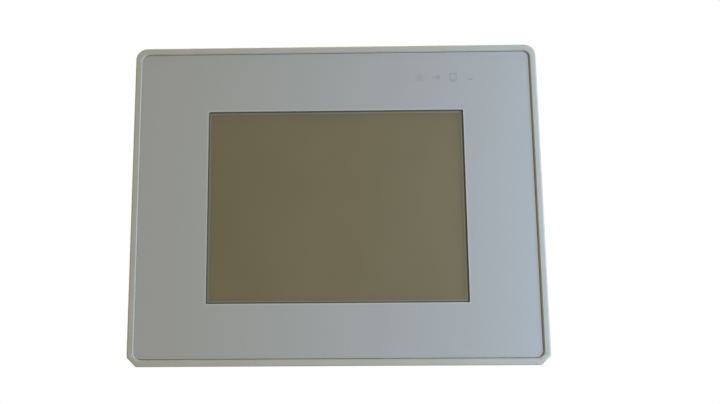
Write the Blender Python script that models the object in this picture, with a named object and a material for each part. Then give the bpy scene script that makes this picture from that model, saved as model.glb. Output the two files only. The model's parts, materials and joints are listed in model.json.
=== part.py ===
"""Panel-mounted operator terminal with a 5.7 inch resistive touch display.

Frame: +X to the operator's right, +Z up, +Y from the operator into the cabinet.
The origin is the centre of the faceplate, on the plane of its rear face, which is the
plane where the cabinet door's outer surface lies once the terminal is clamped in.
"""

import math

import bmesh
import bpy
from mathutils import Matrix, Vector

mm = 0.001
GAP = 0.3 * mm  # between neighbours that touch on the real device
RUNNING_GAP = 0.1 * mm  # between a shaft and its hole

# Driving dimensions of the front
FACE_WIDTH, FACE_HEIGHT, FACE_RADIUS = 187 * mm, 147 * mm, 5.4 * mm
FACE_CHAMFER, CHAMFER_RADIUS = 4.2 * mm, 1.4 * mm  # of the two lower corners
FACE_FRONT = -5 * mm  # the lip's crest; the faceplate's rear face is at 0
LIP_WIDTH, LIP_RADIUS, LIP_ROUND = 3.15 * mm, 2.2 * mm, 0.9 * mm
RECESS_FLOOR = -3.5 * mm
FILM_THICKNESS = 0.5 * mm
WINDOW_WIDTH, WINDOW_HEIGHT, WINDOW_Z = 117.6 * mm, 88.4 * mm, -1.75 * mm
WINDOW = (0, WINDOW_Z)
TOUCH_WIDTH, TOUCH_HEIGHT = 127.4 * mm, 98.2 * mm
TOUCH_LEDGE = -1.3 * mm
INDICATOR_X = [39.2 * mm + i * 7.8 * mm for i in range(4)]
INDICATOR_Z = 58.1 * mm
INDICATOR_POSTS = (INDICATOR_X[0] - 5.6 * mm, INDICATOR_X[-1] + 5.6 * mm)

# Driving dimensions of what passes through the cut-out
CUTOUT_WIDTH, CUTOUT_HEIGHT = 176 * mm, 136 * mm
COLLAR_WIDTH, COLLAR_HEIGHT = CUTOUT_WIDTH - 1.4 * mm, CUTOUT_HEIGHT - 1.4 * mm
COLLAR_REAR, BODY_REAR, WALL = 15.5 * mm, 47 * mm, 2.2 * mm
BODY_LEFT, BODY_RIGHT, BODY_BOTTOM, BODY_TOP = -79 * mm, 79 * mm, -50 * mm, 60 * mm
BODY_RADIUS = 4 * mm

# Display module and boards
LCD_REAR = 11.7 * mm
CHASSIS_FRONT, CHASSIS_REAR = 12.0 * mm, 13.0 * mm
BOARD_FRONT, BOARD_REAR = 17 * mm, 18.6 * mm
PARTS_Y = BOARD_REAR + GAP  # front of what stands on the main board
SERVICE_FRONT, SERVICE_REAR = 32.8 * mm, 34.4 * mm
SERVICE_Y = SERVICE_REAR + GAP

# The service opening in the rear wall, and the flap's hinge
SERVICE = dict(x0=-66 * mm, x1=-20 * mm, z0=11 * mm, z1=45 * mm)
HINGE_Y, HINGE_Z, KNUCKLE_RADIUS, PIN_RADIUS = 48.8 * mm, 46.6 * mm, 1.5 * mm, 0.75 * mm
FLAP_KNUCKLES = ((-60, -52), (-34, -26))  # millimetres along X
HINGE_BORE = [(-70 * mm, PIN_RADIUS + RUNNING_GAP), (-16 * mm, PIN_RADIUS + RUNNING_GAP)]
COVER_KNUCKLES = ((-63, -60.3), (-51.7, -34.3), (-25.7, -23))

# Panel clamps
CLAMP_X, CLAMP_LUG_X = 91 * mm, 95.2 * mm
CLAMP_Z = (42 * mm, -36 * mm)
CLAMP_THREAD_RADIUS, CLAMP_FOOT_RADIUS = 1.95 * mm, 2.6 * mm
CLAMP_FOOT_FRONT, CLAMP_FOOT_REAR, CLAMP_HEAD_Y = 8.5 * mm, 11.6 * mm, 44 * mm

# Ports along the bottom, each centred at (x, y)
PORT_Y = 25.2 * mm
SERIAL_15_X, SERIAL_9_X, NETWORK_X, USB_X = -30 * mm, 8 * mm, 35.5 * mm, 54 * mm
POWER_X, POWER_PITCH = -64 * mm, 5.08 * mm
POWER_POLES = [POWER_X + i * POWER_PITCH for i in (-1, 0, 1)]
POWER_SCREW_Z = -60 * mm
EARTH_X = 68.5 * mm

# Fasteners of the rear cover
COVER_SCREWS = [(sx * 81.2 * mm, sz * 61.2 * mm) for sx in (-1, 1) for sz in (-1, 1)]

CORNER_STEPS, ROUND_STEPS = 5, 20


# ---------------------------------------------------------------- outlines and solids


def rounded_rect(width, height, radius, centre=(0, 0), steps=CORNER_STEPS):
    """Points (u, v) round a rectangle with round corners, the same count for any size."""
    points = []
    for quarter, (su, sv) in enumerate(((1, 1), (-1, 1), (-1, -1), (1, -1))):
        u0 = centre[0] + su * (width / 2 - radius)
        v0 = centre[1] + sv * (height / 2 - radius)
        for i in range(steps + 1):
            a = math.radians(90) * (quarter + i / steps)
            points.append((u0 + radius * math.cos(a), v0 + radius * math.sin(a)))
    return points


def face_outline(inset):
    """The faceplate's outline: round upper corners, and lower corners cut at 45 degrees."""
    width, height = FACE_WIDTH - 2 * inset, FACE_HEIGHT - 2 * inset
    points = rounded_rect(width, height, FACE_RADIUS - inset)[: 2 * (CORNER_STEPS + 1)]
    blend = CHAMFER_RADIUS - inset
    cut_back = FACE_CHAMFER - inset * (2 - math.sqrt(2))
    reach = cut_back + blend * math.tan(math.radians(22.5))
    half_steps = CORNER_STEPS // 2
    for quarter, side in ((2, -1), (3, 1)):
        for end in (0, 1):
            du, dv = (blend, reach) if (quarter + end) % 2 == 0 else (reach, blend)
            u0, v0 = side * (width / 2 - du), dv - height / 2
            for i in range(half_steps + 1):
                a = math.radians(90 * quarter + 45 * (end + i / half_steps))
                points.append((u0 + blend * math.cos(a), v0 + blend * math.sin(a)))
    return points


def circle(radius, steps=ROUND_STEPS):
    turn = 2 * math.pi
    return [
        (radius * math.cos(turn * i / steps), radius * math.sin(turn * i / steps))
        for i in range(steps)
    ]


def along(axis, outline, distance, origin=(0, 0, 0)):
    """The outline in space, perpendicular to the axis and at this distance along it."""
    made = []
    for u, v in outline:
        point = {"X": (distance, u, v), "Y": (u, distance, v), "Z": (u, v, distance)}[axis]
        made.append(Vector(point) + Vector(origin))
    return made


def skin(rings, loop=False):
    """A closed surface through rings of equal count: capped, or joined end to start."""
    shape = bmesh.new()
    rows = [[shape.verts.new(p) for p in ring] for ring in rings]
    for near, far in zip(rows, rows[1:] + (rows[:1] if loop else [])):
        for i, corner in enumerate(near):
            shape.faces.new((corner, far[i], far[i - 1], near[i - 1]))
    if not loop:
        shape.faces.new(rows[0])
        shape.faces.new(rows[-1])
    bmesh.ops.recalc_face_normals(shape, faces=shape.faces)
    return shape


def box(x0, x1, y0, y1, z0, z1, bevel=0.0):
    corners = [(x0, z0), (x1, z0), (x1, z1), (x0, z1)]
    shape = skin([along("Y", corners, y0), along("Y", corners, y1)])
    if bevel:
        bmesh.ops.bevel(
            shape, geom=list(shape.edges), offset=bevel, segments=1, affect="EDGES"
        )
    return shape


def turned(axis, origin, profile, steps=ROUND_STEPS):
    """A solid of revolution. profile lists (distance along the axis, radius)."""
    return skin([along(axis, circle(r, steps), d, origin) for d, r in profile])


def prism(axis, outline, start, end):
    return skin([along(axis, outline, start), along(axis, outline, end)])


def ribbon(route, thickness, x0, x1):
    """A flat cable of this width that follows a route of (y, z) points."""
    left, right = [], []
    for i, point in enumerate(route):
        before, after = Vector(route[max(i - 1, 0)]), Vector(route[min(i + 1, len(route) - 1)])
        across = (after - before).normalized().orthogonal() * thickness / 2
        left.append(Vector(point) + across)
        right.append(Vector(point) - across)
    outline = left + right[::-1]
    return prism("X", [tuple(p) for p in outline], x0, x1)


def arc(centre, radius, start, end, steps=4):
    """Points (y, z) along an arc, with angles in degrees from +y towards +z."""
    angles = [math.radians(start + (end - start) * i / steps) for i in range(steps + 1)]
    return [(centre[0] + radius * math.cos(a), centre[1] + radius * math.sin(a)) for a in angles]


def merged(*shapes):
    """Several shapes as one set of faces, for a Boolean that uses them all at once."""
    whole = bmesh.new()
    for shape in shapes:
        part = bpy.data.meshes.new("part")
        shape.to_mesh(part)
        whole.from_mesh(part)
        shape.free()
        bpy.data.meshes.remove(part)
    return whole


# ---------------------------------------------------------------- objects and materials


def clear_scene():
    for obj in list(bpy.data.objects):
        bpy.data.objects.remove(obj)


# Base colour, roughness, metallic value and opacity of each finish
FINISHES = {
    "bezel": ((0.55, 0.56, 0.53), 0.5, 0, 1),
    "film": ((0.36, 0.40, 0.43), 0.45, 0, 1),
    "glass": ((0.30, 0.30, 0.22), 0.2, 0, 0.4),
    "cell": ((0.16, 0.14, 0.08), 0.3, 0, 1),
    "housing": ((0.045, 0.047, 0.05), 0.55, 0, 1),
    "rubber": ((0.02, 0.02, 0.02), 0.8, 0, 1),
    "steel": ((0.62, 0.62, 0.6), 0.35, 1, 1),
    "screw": ((0.7, 0.7, 0.7), 0.3, 1, 1),
    "board": ((0.02, 0.13, 0.05), 0.4, 0, 1),
    "chip": ((0.02, 0.02, 0.022), 0.5, 0, 1),
    "alu": ((0.75, 0.75, 0.76), 0.4, 1, 1),
    "green": ((0.03, 0.28, 0.09), 0.45, 0, 1),
    "white": ((0.8, 0.8, 0.78), 0.4, 0, 1),
    "clear": ((0.85, 0.88, 0.88), 0.1, 0, 0.5),
    "flex": ((0.45, 0.22, 0.04), 0.4, 0, 1),
    "switch": ((0.55, 0.04, 0.03), 0.45, 0, 1),
}


def material(name, colour, roughness, metallic, alpha):
    made = bpy.data.materials.new(name)
    made.use_nodes = True
    shader = made.node_tree.nodes["Principled BSDF"]
    shader.inputs["Base Color"].default_value = (*colour, 1)
    shader.inputs["Roughness"].default_value = roughness
    shader.inputs["Metallic"].default_value = metallic
    shader.inputs["Alpha"].default_value = alpha
    return made


def place(name, shape, finish, origin=(0, 0, 0)):
    """Makes a named object of the shape, with its own origin at a point of the frame."""
    bmesh.ops.translate(shape, verts=shape.verts, vec=-Vector(origin))
    mesh = bpy.data.meshes.new(name)
    shape.to_mesh(mesh)
    shape.free()
    mesh.materials.append(material(f"{name}_{finish}", *FINISHES[finish]))
    obj = bpy.data.objects.new(name, mesh)
    obj.location = origin
    bpy.context.scene.collection.objects.link(obj)
    return obj


def boolean(obj, operation, *shapes):
    """Cuts the shapes from the object, or joins them to it, and keeps the result as its mesh."""
    tool = place("tool", merged(*shapes), "chip")
    modifier = obj.modifiers.new(operation.lower(), "BOOLEAN")
    modifier.operation, modifier.solver, modifier.object = operation, "EXACT", tool
    bpy.context.view_layer.update()
    evaluated = obj.evaluated_get(bpy.context.evaluated_depsgraph_get())
    result = bpy.data.meshes.new_from_object(evaluated)
    obj.modifiers.clear()
    old = obj.data
    obj.data = result
    result.name = old.name
    bpy.data.meshes.remove(old)
    bpy.data.objects.remove(tool)


def shade_round_surfaces():
    """Smooth shading, kept sharp along every edge of more than forty degrees."""
    for obj in bpy.context.scene.objects:
        obj.data.shade_smooth()
        obj.data.set_sharp_from_angle(angle=math.radians(40))


def cut(obj, *shapes):
    boolean(obj, "DIFFERENCE", *shapes)


def join(obj, *shapes):
    """Joins shapes one at a time, because they may overlap each other."""
    for shape in shapes:
        boolean(obj, "UNION", shape)


# ---------------------------------------------------------------- front


def front_bezel():
    """Faceplate: a raised lip round a flat recess, a stepped window and a seal groove."""
    recess = (FACE_WIDTH - 2 * LIP_WIDTH, FACE_HEIGHT - 2 * LIP_WIDTH, LIP_RADIUS)
    pocket = (TOUCH_WIDTH + 2 * GAP, TOUCH_HEIGHT + 2 * GAP, 1.0 * mm, WINDOW)
    through = (WINDOW_WIDTH + 2.4 * mm, WINDOW_HEIGHT + 2.4 * mm, 1.0 * mm, WINDOW)

    def outer(inset, y):
        return along("Y", face_outline(inset), y)

    # Down the outer side from the rear, over the rounded lip, and in to the window
    lip = [
        outer(LIP_ROUND * (1 - math.cos(a)), FACE_FRONT + LIP_ROUND * (1 - math.sin(a)))
        for a in (0, math.radians(30), math.radians(60), math.radians(90))
    ]
    rings = [outer(0.4 * mm, 0), outer(0, -0.4 * mm), *lip]
    rings += [along("Y", rounded_rect(*recess), y) for y in (FACE_FRONT, RECESS_FLOOR)]
    rings += [along("Y", rounded_rect(*pocket), y) for y in (RECESS_FLOOR, TOUCH_LEDGE)]
    rings += [along("Y", rounded_rect(*through), y) for y in (TOUCH_LEDGE, 0)]
    # Back out across the rear face, round the seal groove
    for w, h, r, ys in SEAL_GROOVE:
        rings += [along("Y", rounded_rect(w, h, r), y) for y in ys]
    bezel = place("front_bezel", skin(rings, loop=True), "bezel")

    bosses = [
        turned("Y", (x, 0, z), [(-1.0 * mm, 3.2 * mm), (12.9 * mm, 3.2 * mm)], 16)
        for x, z in COVER_SCREWS
    ]
    posts = [
        turned("Y", (x, 0, INDICATOR_Z), [(-1.0 * mm, 1.6 * mm), (3.4 * mm, 1.6 * mm)], 12)
        for x in INDICATOR_POSTS
    ]
    join(bezel, merged(*bosses, *posts))
    pilots = [
        turned("Y", (x, 0, z), [(1.2 * mm, 1.5 * mm), (14 * mm, 1.5 * mm)], 12)
        for x, z in COVER_SCREWS
    ]
    lights = [
        turned("Y", (x, 0, INDICATOR_Z), [(-4 * mm, 1.5 * mm), (1 * mm, 1.5 * mm)], 12)
        for x in INDICATOR_X
    ]
    tail = box(-8.6 * mm, 5.6 * mm, -4 * mm, 1 * mm, 46.5 * mm, 53.6 * mm)
    cut(bezel, merged(*pilots, *lights, tail))


GROOVE_DEPTH = -1.6 * mm
SEAL_GROOVE = (
    (178.6 * mm, 138.6 * mm, 3.3 * mm, (0, GROOVE_DEPTH)),
    (185.0 * mm, 145.0 * mm, 6.5 * mm, (GROOVE_DEPTH, 0)),
)
GASKET_REAR = 0.8 * mm


def panel_gasket():
    """Rubber ring in the faceplate's rear groove that seals on the cabinet door."""
    inner = (179.2 * mm, 139.2 * mm, 3.6 * mm)
    outer = (184.4 * mm, 144.4 * mm, 6.2 * mm)
    low, high = GROOVE_DEPTH + GAP, GASKET_REAR
    rings = [along("Y", rounded_rect(*outer), y) for y in (low, high - 0.5 * mm)]
    rings += [
        along("Y", rounded_rect(outer[0] - mm, outer[1] - mm, outer[2] - 0.5 * mm), high),
        along("Y", rounded_rect(inner[0] + mm, inner[1] + mm, inner[2] + 0.5 * mm), high),
    ]
    rings += [along("Y", rounded_rect(*inner), y) for y in (high - 0.5 * mm, low)]
    place("panel_gasket", skin(rings, loop=True), "rubber")


def front_overlay():
    """Printed polyester film in the recess, with the clear display window left open."""
    edge = LIP_WIDTH + GAP
    outer = (FACE_WIDTH - 2 * edge, FACE_HEIGHT - 2 * edge, LIP_RADIUS - GAP)
    window = (WINDOW_WIDTH, WINDOW_HEIGHT, 0.6 * mm, WINDOW)
    rear = RECESS_FLOOR - GAP
    front = rear - FILM_THICKNESS
    rings = [along("Y", rounded_rect(*outer), y) for y in (rear, front)]
    rings += [along("Y", rounded_rect(*window), y) for y in (front, rear)]
    place("front_overlay", skin(rings, loop=True), "film")


def touch_screen():
    size = (TOUCH_WIDTH, TOUCH_HEIGHT, 0.7 * mm, WINDOW)
    pane = prism("Y", rounded_rect(*size, steps=3), RECESS_FLOOR, TOUCH_LEDGE - GAP)
    place("touch_screen", pane, "glass")
    # Its tail leaves the top edge, turns back through the faceplate and over the boards
    top = WINDOW_Z + TOUCH_HEIGHT / 2 + GAP
    bend, turn_y, turn_z = 1.2 * mm, -2.6 * mm, 52.8 * mm
    route = [(turn_y, top)]
    route += arc((turn_y + bend, turn_z - bend), bend, 180, 90)
    route += arc((20.4 * mm - bend, turn_z - bend), bend, 90, 0)
    route += [(20.4 * mm, 47.5 * mm)]
    place("touch_flex", ribbon(route, 0.35 * mm, -7.6 * mm, 4.6 * mm), "flex")


def display_module():
    """Foam frame, LCD cell, backlight and lamp inside the module's pressed steel frame."""

    def frame(name, outer, inner, y0, y1, finish):
        rings = [along("Y", rounded_rect(*outer, centre=WINDOW, steps=2), y) for y in (y0, y1)]
        rings += [along("Y", rounded_rect(*inner, centre=WINDOW, steps=2), y) for y in (y1, y0)]
        return place(name, skin(rings, loop=True), finish)

    opening = (121 * mm, 91.8 * mm, 0.8 * mm)
    frame("display_gasket", (128 * mm, 98.8 * mm, 1 * mm), opening, GAP, 1.3 * mm, "rubber")

    shell, wall = (144 * mm, 104.6 * mm, 1.2 * mm), 0.8 * mm
    inside = (shell[0] - 2 * wall, shell[1] - 2 * wall, 0.5 * mm)
    sections = [
        (shell, LCD_REAR), (shell, 1.6 * mm), (opening, 1.6 * mm),
        (opening, 2.2 * mm), (inside, 2.2 * mm), (inside, LCD_REAR),
    ]
    rings = [
        along("Y", rounded_rect(*size, centre=WINDOW, steps=2), y) for size, y in sections
    ]
    place("lcd_frame", skin(rings, loop=True), "steel")

    left, right = -70 * mm, 70 * mm
    low, high = WINDOW_Z - 50.5 * mm, WINDOW_Z + 50.5 * mm
    place("lcd_glass", box(left, right, 2.5 * mm, 4.7 * mm, low, high), "cell")
    place("lcd_backlight", box(left, right, 5 * mm, 10.3 * mm, low + 6 * mm, high), "white")
    tube = turned("X", (0, 7.6 * mm, low + 3 * mm), [(-65 * mm, 1.3 * mm), (65 * mm, 1.3 * mm)], 12)
    place("backlight_lamp", tube, "clear")

    # The display cable leaves the module's rear and passes through the chassis plate
    near, far = 11.1 * mm, 16.4 * mm
    route = [(near, -38 * mm), (near, -30 * mm), (far, -27 * mm), (far, -21 * mm)]
    place("display_flex", ribbon(route, 0.35 * mm, -44 * mm, -22 * mm), "flex")


def indicators():
    """Four status lights: a small board and one moulded guide that brings them forward."""
    x0, x1 = INDICATOR_X[0] - 3 * mm, INDICATOR_X[-1] + 3 * mm
    z0, z1 = INDICATOR_Z - 3 * mm, INDICATOR_Z + 3 * mm
    guide = place("indicator_light_guide", box(x0, x1, GAP, 2.6 * mm, z0, z1), "clear")
    prongs = [
        turned("Y", (x, 0, INDICATOR_Z), [(-3.1 * mm, 1.2 * mm), (1 * mm, 1.2 * mm)], 12)
        for x in INDICATOR_X
    ]
    join(guide, merged(*prongs))
    board = box(x0 - 5 * mm, x1 + 5 * mm, 3.7 * mm, 4.9 * mm, z0 - 1 * mm, z1 + 1 * mm)
    board = place("indicator_board", board, "board")
    lamps = [
        box(x - 1 * mm, x + 1 * mm, 2.9 * mm, 4 * mm, INDICATOR_Z - 0.6 * mm, INDICATOR_Z + 0.6 * mm)
        for x in INDICATOR_X
    ]
    join(board, merged(*lamps))


# ---------------------------------------------------------------- boards


def chassis_plate():
    """Sheet steel plate behind the display that carries the main board on four pillars."""
    plate = box(-79 * mm, 79 * mm, CHASSIS_FRONT, CHASSIS_REAR, -58 * mm, 58 * mm)
    plate = place("chassis_plate", plate, "steel")
    pillars = [
        turned("Y", (x, 0, z), [(CHASSIS_FRONT + 0.5 * mm, 2.5 * mm), (BOARD_FRONT - GAP, 2.5 * mm)], 10)
        for x, z in BOARD_PILLARS
    ]
    join(plate, merged(*pillars))
    tab = (BODY_BOTTOM + WALL + GAP, BODY_BOTTOM + WALL + 1.3 * mm)
    join(plate, box(EARTH_X - 5 * mm, EARTH_X + 5 * mm, CHASSIS_FRONT, 30 * mm, *tab))
    cut(plate, turned("Z", (EARTH_X, PORT_Y, 0), [(-49 * mm, 1.7 * mm), (-45 * mm, 1.7 * mm)], 12))
    tail = box(-8.6 * mm, 5.6 * mm, 11 * mm, 14 * mm, 51.6 * mm, 54 * mm)
    cable = box(-45 * mm, -21 * mm, 11 * mm, 14 * mm, -31 * mm, -26 * mm)
    cut(plate, merged(tail, cable))


BOARD_PILLARS = [(x * mm, z * mm) for x in (-70, 70) for z in (-41, 46)]


def main_board():
    """Main circuit board with its smaller parts, and the processor under a heat sink."""
    board = box(-74 * mm, 74 * mm, BOARD_FRONT, BOARD_REAR, -46 * mm, 51.5 * mm)
    board = place("main_board", board, "board")
    sunk = BOARD_REAR - 0.5 * mm
    parts = [
        box(x * mm, (x + w) * mm, sunk, (18.6 + h) * mm, z * mm, (z + d) * mm)
        for x, z, w, d, h in (
            (-12, -22, 22, 12, 1.2), (14, -22, 10, 10, 2.0), (-40, -24, 14, 14, 1.6),
            (-66, -26, 12, 12, 6.0), (26, -8, 6, 14, 1.4), (-14, 40, 24, 5, 2.5),
        )
    ]
    cans = [
        turned("Y", (x * mm, 0, z * mm), [(sunk, 4 * mm), (29 * mm, 4 * mm)], 12)
        for x, z in ((-48, -12), (-36, -3), (-60, -8))
    ]
    join(board, merged(*parts, *cans))

    place("processor", box(-10 * mm, 14 * mm, PARTS_Y, 21 * mm, 2 * mm, 26 * mm), "chip")
    sink = place("heat_sink", box(-9 * mm, 13 * mm, 21.3 * mm, 23.3 * mm, 3 * mm, 25 * mm), "alu")
    fins = [
        box(x * mm, (x + 1.4) * mm, 22.5 * mm, 31 * mm, 3 * mm, 25 * mm)
        for x in (-9, -5, -1, 3, 7, 11.6)
    ]
    join(sink, merged(*fins))


def inverter_board():
    """Lamp supply: a narrow board on two posts with its transformer."""
    board = place("inverter_board", box(16 * mm, 74 * mm, 23 * mm, 24.2 * mm, 31 * mm, 47 * mm), "board")
    posts = [
        turned("Y", (x, 0, 39 * mm), [(PARTS_Y, 1.8 * mm), (23.5 * mm, 1.8 * mm)], 8)
        for x in (19 * mm, 71 * mm)
    ]
    join(
        board,
        merged(*posts),
        box(30 * mm, 46 * mm, 24 * mm, 32 * mm, 34 * mm, 45 * mm),
        box(54 * mm, 66 * mm, 24 * mm, 27 * mm, 35 * mm, 43 * mm),
    )


# ---------------------------------------------------------------- memory card

CARD_Z, CARD_HALF, CARD_Y0, CARD_Y1 = 3 * mm, 21.4 * mm, 20.6 * mm, 23.9 * mm
CARD_X0, CARD_X1 = 44.2 * mm, 80.6 * mm


def card_slot():
    """Memory card pushed in from the right, and the socket with side rails that holds it."""
    z0, z1 = CARD_Z - CARD_HALF, CARD_Z + CARD_HALF
    socket = place(
        "card_socket", box(40 * mm, 43.7 * mm, PARTS_Y, 25.4 * mm, z0 - 3 * mm, z1 + 3 * mm), "chip"
    )
    rails = [
        box(43 * mm, 74 * mm, PARTS_Y, 25.4 * mm, *sorted((edge, edge + side * 2.6 * mm)))
        for edge, side in ((z1 + GAP, 1), (z0 - GAP, -1))
    ]
    join(socket, merged(*rails))
    card = box(CARD_X0, CARD_X1, CARD_Y0, CARD_Y1, z0, z1)
    card = place("memory_card", card, "chip", (CARD_X0, (CARD_Y0 + CARD_Y1) / 2, CARD_Z))
    grip = box(78.9 * mm, 79.9 * mm, CARD_Y1 - 0.5 * mm, CARD_Y1 + 1 * mm, z0 + 8 * mm, z1 - 8 * mm)
    cut(card, grip)


# ---------------------------------------------------------------- ports


def d_outline(width, height, centre):
    """The D of a serial port: round corners and sides that lean in by ten degrees."""
    lean = height * math.tan(math.radians(10)) / 2
    points = []
    for u, v in rounded_rect(width, height, 2.2 * mm, steps=3):
        points.append((centre[0] + u * (1 - lean * 2 / width * v / (height / 2)), centre[1] + v))
    return points


def serial_port(name, x, flange, shell, screws):
    """D shaped port with its flange behind the wall and its two jack posts outside."""
    port = box(
        x - shell / 2 - 1 * mm, x + shell / 2 + 1 * mm, PARTS_Y, 31.4 * mm, -46.9 * mm, -36 * mm
    )
    port = place(name, port, "steel")
    wall_inside = BODY_BOTTOM + WALL + GAP
    join(port, box(x - flange / 2, x + flange / 2, PARTS_Y, 31.4 * mm, wall_inside, wall_inside + 1 * mm))
    mouth = d_outline(shell, 8.4 * mm, (x, PORT_Y))
    join(port, prism("Z", mouth, -54 * mm, wall_inside + 0.5 * mm))
    hexagon = [(-50.3 * mm, 2.6 * mm), (-55.3 * mm, 2.6 * mm)]
    for side in (-1, 1):
        post = (x + side * screws / 2, PORT_Y, 0)
        join(port, turned("Z", post, [(-51 * mm, 1.4 * mm), (wall_inside + 0.5 * mm, 1.4 * mm)], 10))
        join(port, turned("Z", post, hexagon[::-1], 6))
        cut(port, turned("Z", post, [(-56 * mm, 1.2 * mm), (-51.5 * mm, 1.2 * mm)], 8))


def ports():
    serial_port("serial_port_15", SERIAL_15_X, 39.2 * mm, 25.0 * mm, 33.3 * mm)
    serial_port("serial_port_9", SERIAL_9_X, 30.8 * mm, 16.7 * mm, 25.0 * mm)

    network = box(NETWORK_X - 8 * mm, NETWORK_X + 8 * mm, PARTS_Y, 32.4 * mm, -51 * mm, -31 * mm)
    network = place("network_port", network, "steel")
    cut(network, box(NETWORK_X - 6 * mm, NETWORK_X + 6 * mm, 22.4 * mm, 30.2 * mm, -52 * mm, -38 * mm))
    cut(network, box(NETWORK_X - 3 * mm, NETWORK_X + 3 * mm, 20.8 * mm, 23 * mm, -52 * mm, -38 * mm))

    usb = box(USB_X - 6.6 * mm, USB_X + 6.6 * mm, 21.4 * mm, 27.2 * mm, -51 * mm, -36 * mm)
    usb = place("usb_port", usb, "steel")
    inside = box(USB_X - 6.1 * mm, USB_X + 6.1 * mm, 21.9 * mm, 26.7 * mm, -52 * mm, -37 * mm)
    cut(usb, inside)
    join(usb, box(USB_X - 5.6 * mm, USB_X + 5.6 * mm, 25.0 * mm, 26.3 * mm, -50.5 * mm, -36.5 * mm))
    join(usb, box(USB_X - 6.6 * mm, USB_X + 6.6 * mm, PARTS_Y, 21.6 * mm, -46 * mm, -36 * mm))


def power_connector():
    """Pin header on the board, and the plug with three screw terminals that pulls off it."""
    header = box(POWER_X - 9.4 * mm, POWER_X + 9.4 * mm, PARTS_Y, 32 * mm, -51 * mm, -38 * mm)
    header = place("power_socket", header, "green")
    cut(header, box(POWER_X - 8.4 * mm, POWER_X + 8.4 * mm, 20.2 * mm, 30.8 * mm, -52 * mm, -42 * mm))
    pins = [
        box(x - 0.5 * mm, x + 0.5 * mm, 24.7 * mm, 25.7 * mm, -49.5 * mm, -41 * mm)
        for x in POWER_POLES
    ]
    join(header, merged(*pins))

    plug = box(POWER_X - 8.0 * mm, POWER_X + 8.0 * mm, 20.6 * mm, 30.4 * mm, -55 * mm, -42.5 * mm)
    plug = place("power_plug", plug, "green", (POWER_X, PORT_Y, -51.3 * mm))
    half = 8.9 * mm
    head = box(POWER_X - half, POWER_X + half, 18.6 * mm, 33 * mm, -66 * mm, -51.3 * mm, 0.5 * mm)
    join(plug, head)
    sockets = [
        box(x - 0.9 * mm, x + 0.9 * mm, 24.3 * mm, 26.1 * mm, -50.5 * mm, -40 * mm)
        for x in POWER_POLES
    ]
    entries = [
        box(x - 1.9 * mm, x + 1.9 * mm, 21.4 * mm, 25.6 * mm, -67 * mm, -57 * mm)
        for x in POWER_POLES
    ]
    bores = [(26.2 * mm, 1.3 * mm), (29.7 * mm, 1.3 * mm), (29.7 * mm, 1.9 * mm), (34 * mm, 1.9 * mm)]
    wells = [turned("Y", (x, 0, POWER_SCREW_Z), bores, 14) for x in POWER_POLES]
    cut(plug, merged(*sockets, *entries, *wells))

    profile = [(26.6 * mm, 1.2 * mm), (30 * mm, 1.2 * mm), (30 * mm, 1.8 * mm), (31.6 * mm, 1.8 * mm)]
    for number, x in enumerate(POWER_POLES, 1):
        axis = (x, 0, POWER_SCREW_Z)
        screw = place(f"terminal_screw_{number}", turned("Y", axis, profile, 14), "screw", axis)
        low, high = POWER_SCREW_Z - 0.3 * mm, POWER_SCREW_Z + 0.3 * mm
        cut(screw, box(x - 2.5 * mm, x + 2.5 * mm, 30.8 * mm, 32 * mm, low, high))


# ---------------------------------------------------------------- service bay


def service_bay():
    """Small board behind the flap with the backup cell, option switches and reset button."""
    board = box(-69 * mm, -17 * mm, SERVICE_FRONT, SERVICE_REAR, 8 * mm, 48 * mm)
    board = place("service_board", board, "board")
    posts = [
        turned("Y", (x, 0, z), [(PARTS_Y, 2 * mm), (SERVICE_FRONT + 0.5 * mm, 2 * mm)], 8)
        for x in (-65 * mm, -21 * mm)
        for z in (11 * mm, 45 * mm)
    ]
    join(board, merged(*posts))

    cell = (-51.5 * mm, 0, 28 * mm)
    holder = [(SERVICE_Y, 12 * mm), (39.6 * mm, 12 * mm)]
    holder = place("battery_holder", turned("Y", cell, holder, 24), "chip")
    cut(holder, turned("Y", cell, [(36 * mm, 10.4 * mm), (41 * mm, 10.4 * mm)], 24))
    cut(holder, box(-45 * mm, -38 * mm, 36 * mm, 41 * mm, 24 * mm, 32 * mm))
    coin = [(36.3 * mm, 9.4 * mm), (36.6 * mm, 10 * mm), (39.5 * mm, 10 * mm)]
    place("backup_battery", turned("Y", cell, coin, 24), "alu")

    # Option switches: the block's window lets each slider travel up and down
    x0, pitch, z = -36.2 * mm, 2.54 * mm, 33.5 * mm
    block = box(x0, x0 + 4.6 * pitch, SERVICE_Y, 38.4 * mm, z - 4.9 * mm, z + 4.9 * mm)
    block = place("option_switches", block, "switch")
    centres = [x0 + (i + 0.8) * pitch for i in range(4)]
    slots = [
        box(c - 0.9 * mm, c + 0.9 * mm, 36.6 * mm, 39 * mm, z - 2 * mm, z + 2 * mm) for c in centres
    ]
    cut(block, merged(*slots))
    for number, c in enumerate(centres, 1):
        up = number % 2  # odd switches stand up and even ones down
        middle = z + (0.9 * mm if up else -0.9 * mm)
        slider = box(c - 0.6 * mm, c + 0.6 * mm, 36.9 * mm, 39.2 * mm, middle - 0.75 * mm, middle + 0.75 * mm)
        place(f"option_slider_{number}", slider, "white", (c, 36.9 * mm, middle))

    # Reset: a square switch body with a round plunger
    rx, rz = -30.4 * mm, 19 * mm
    body = box(rx - 3 * mm, rx + 3 * mm, SERVICE_Y, 38 * mm, rz - 3 * mm, rz + 3 * mm)
    body = place("reset_switch", body, "chip")
    cut(body, turned("Y", (rx, 0, rz), [(36.2 * mm, 1.9 * mm), (39 * mm, 1.9 * mm)], 14))
    plunger = turned("Y", (rx, 0, rz), [(36.9 * mm, 1.6 * mm), (39.8 * mm, 1.6 * mm)], 14)
    place("reset_button", plunger, "switch", (rx, 36.9 * mm, rz))


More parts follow.
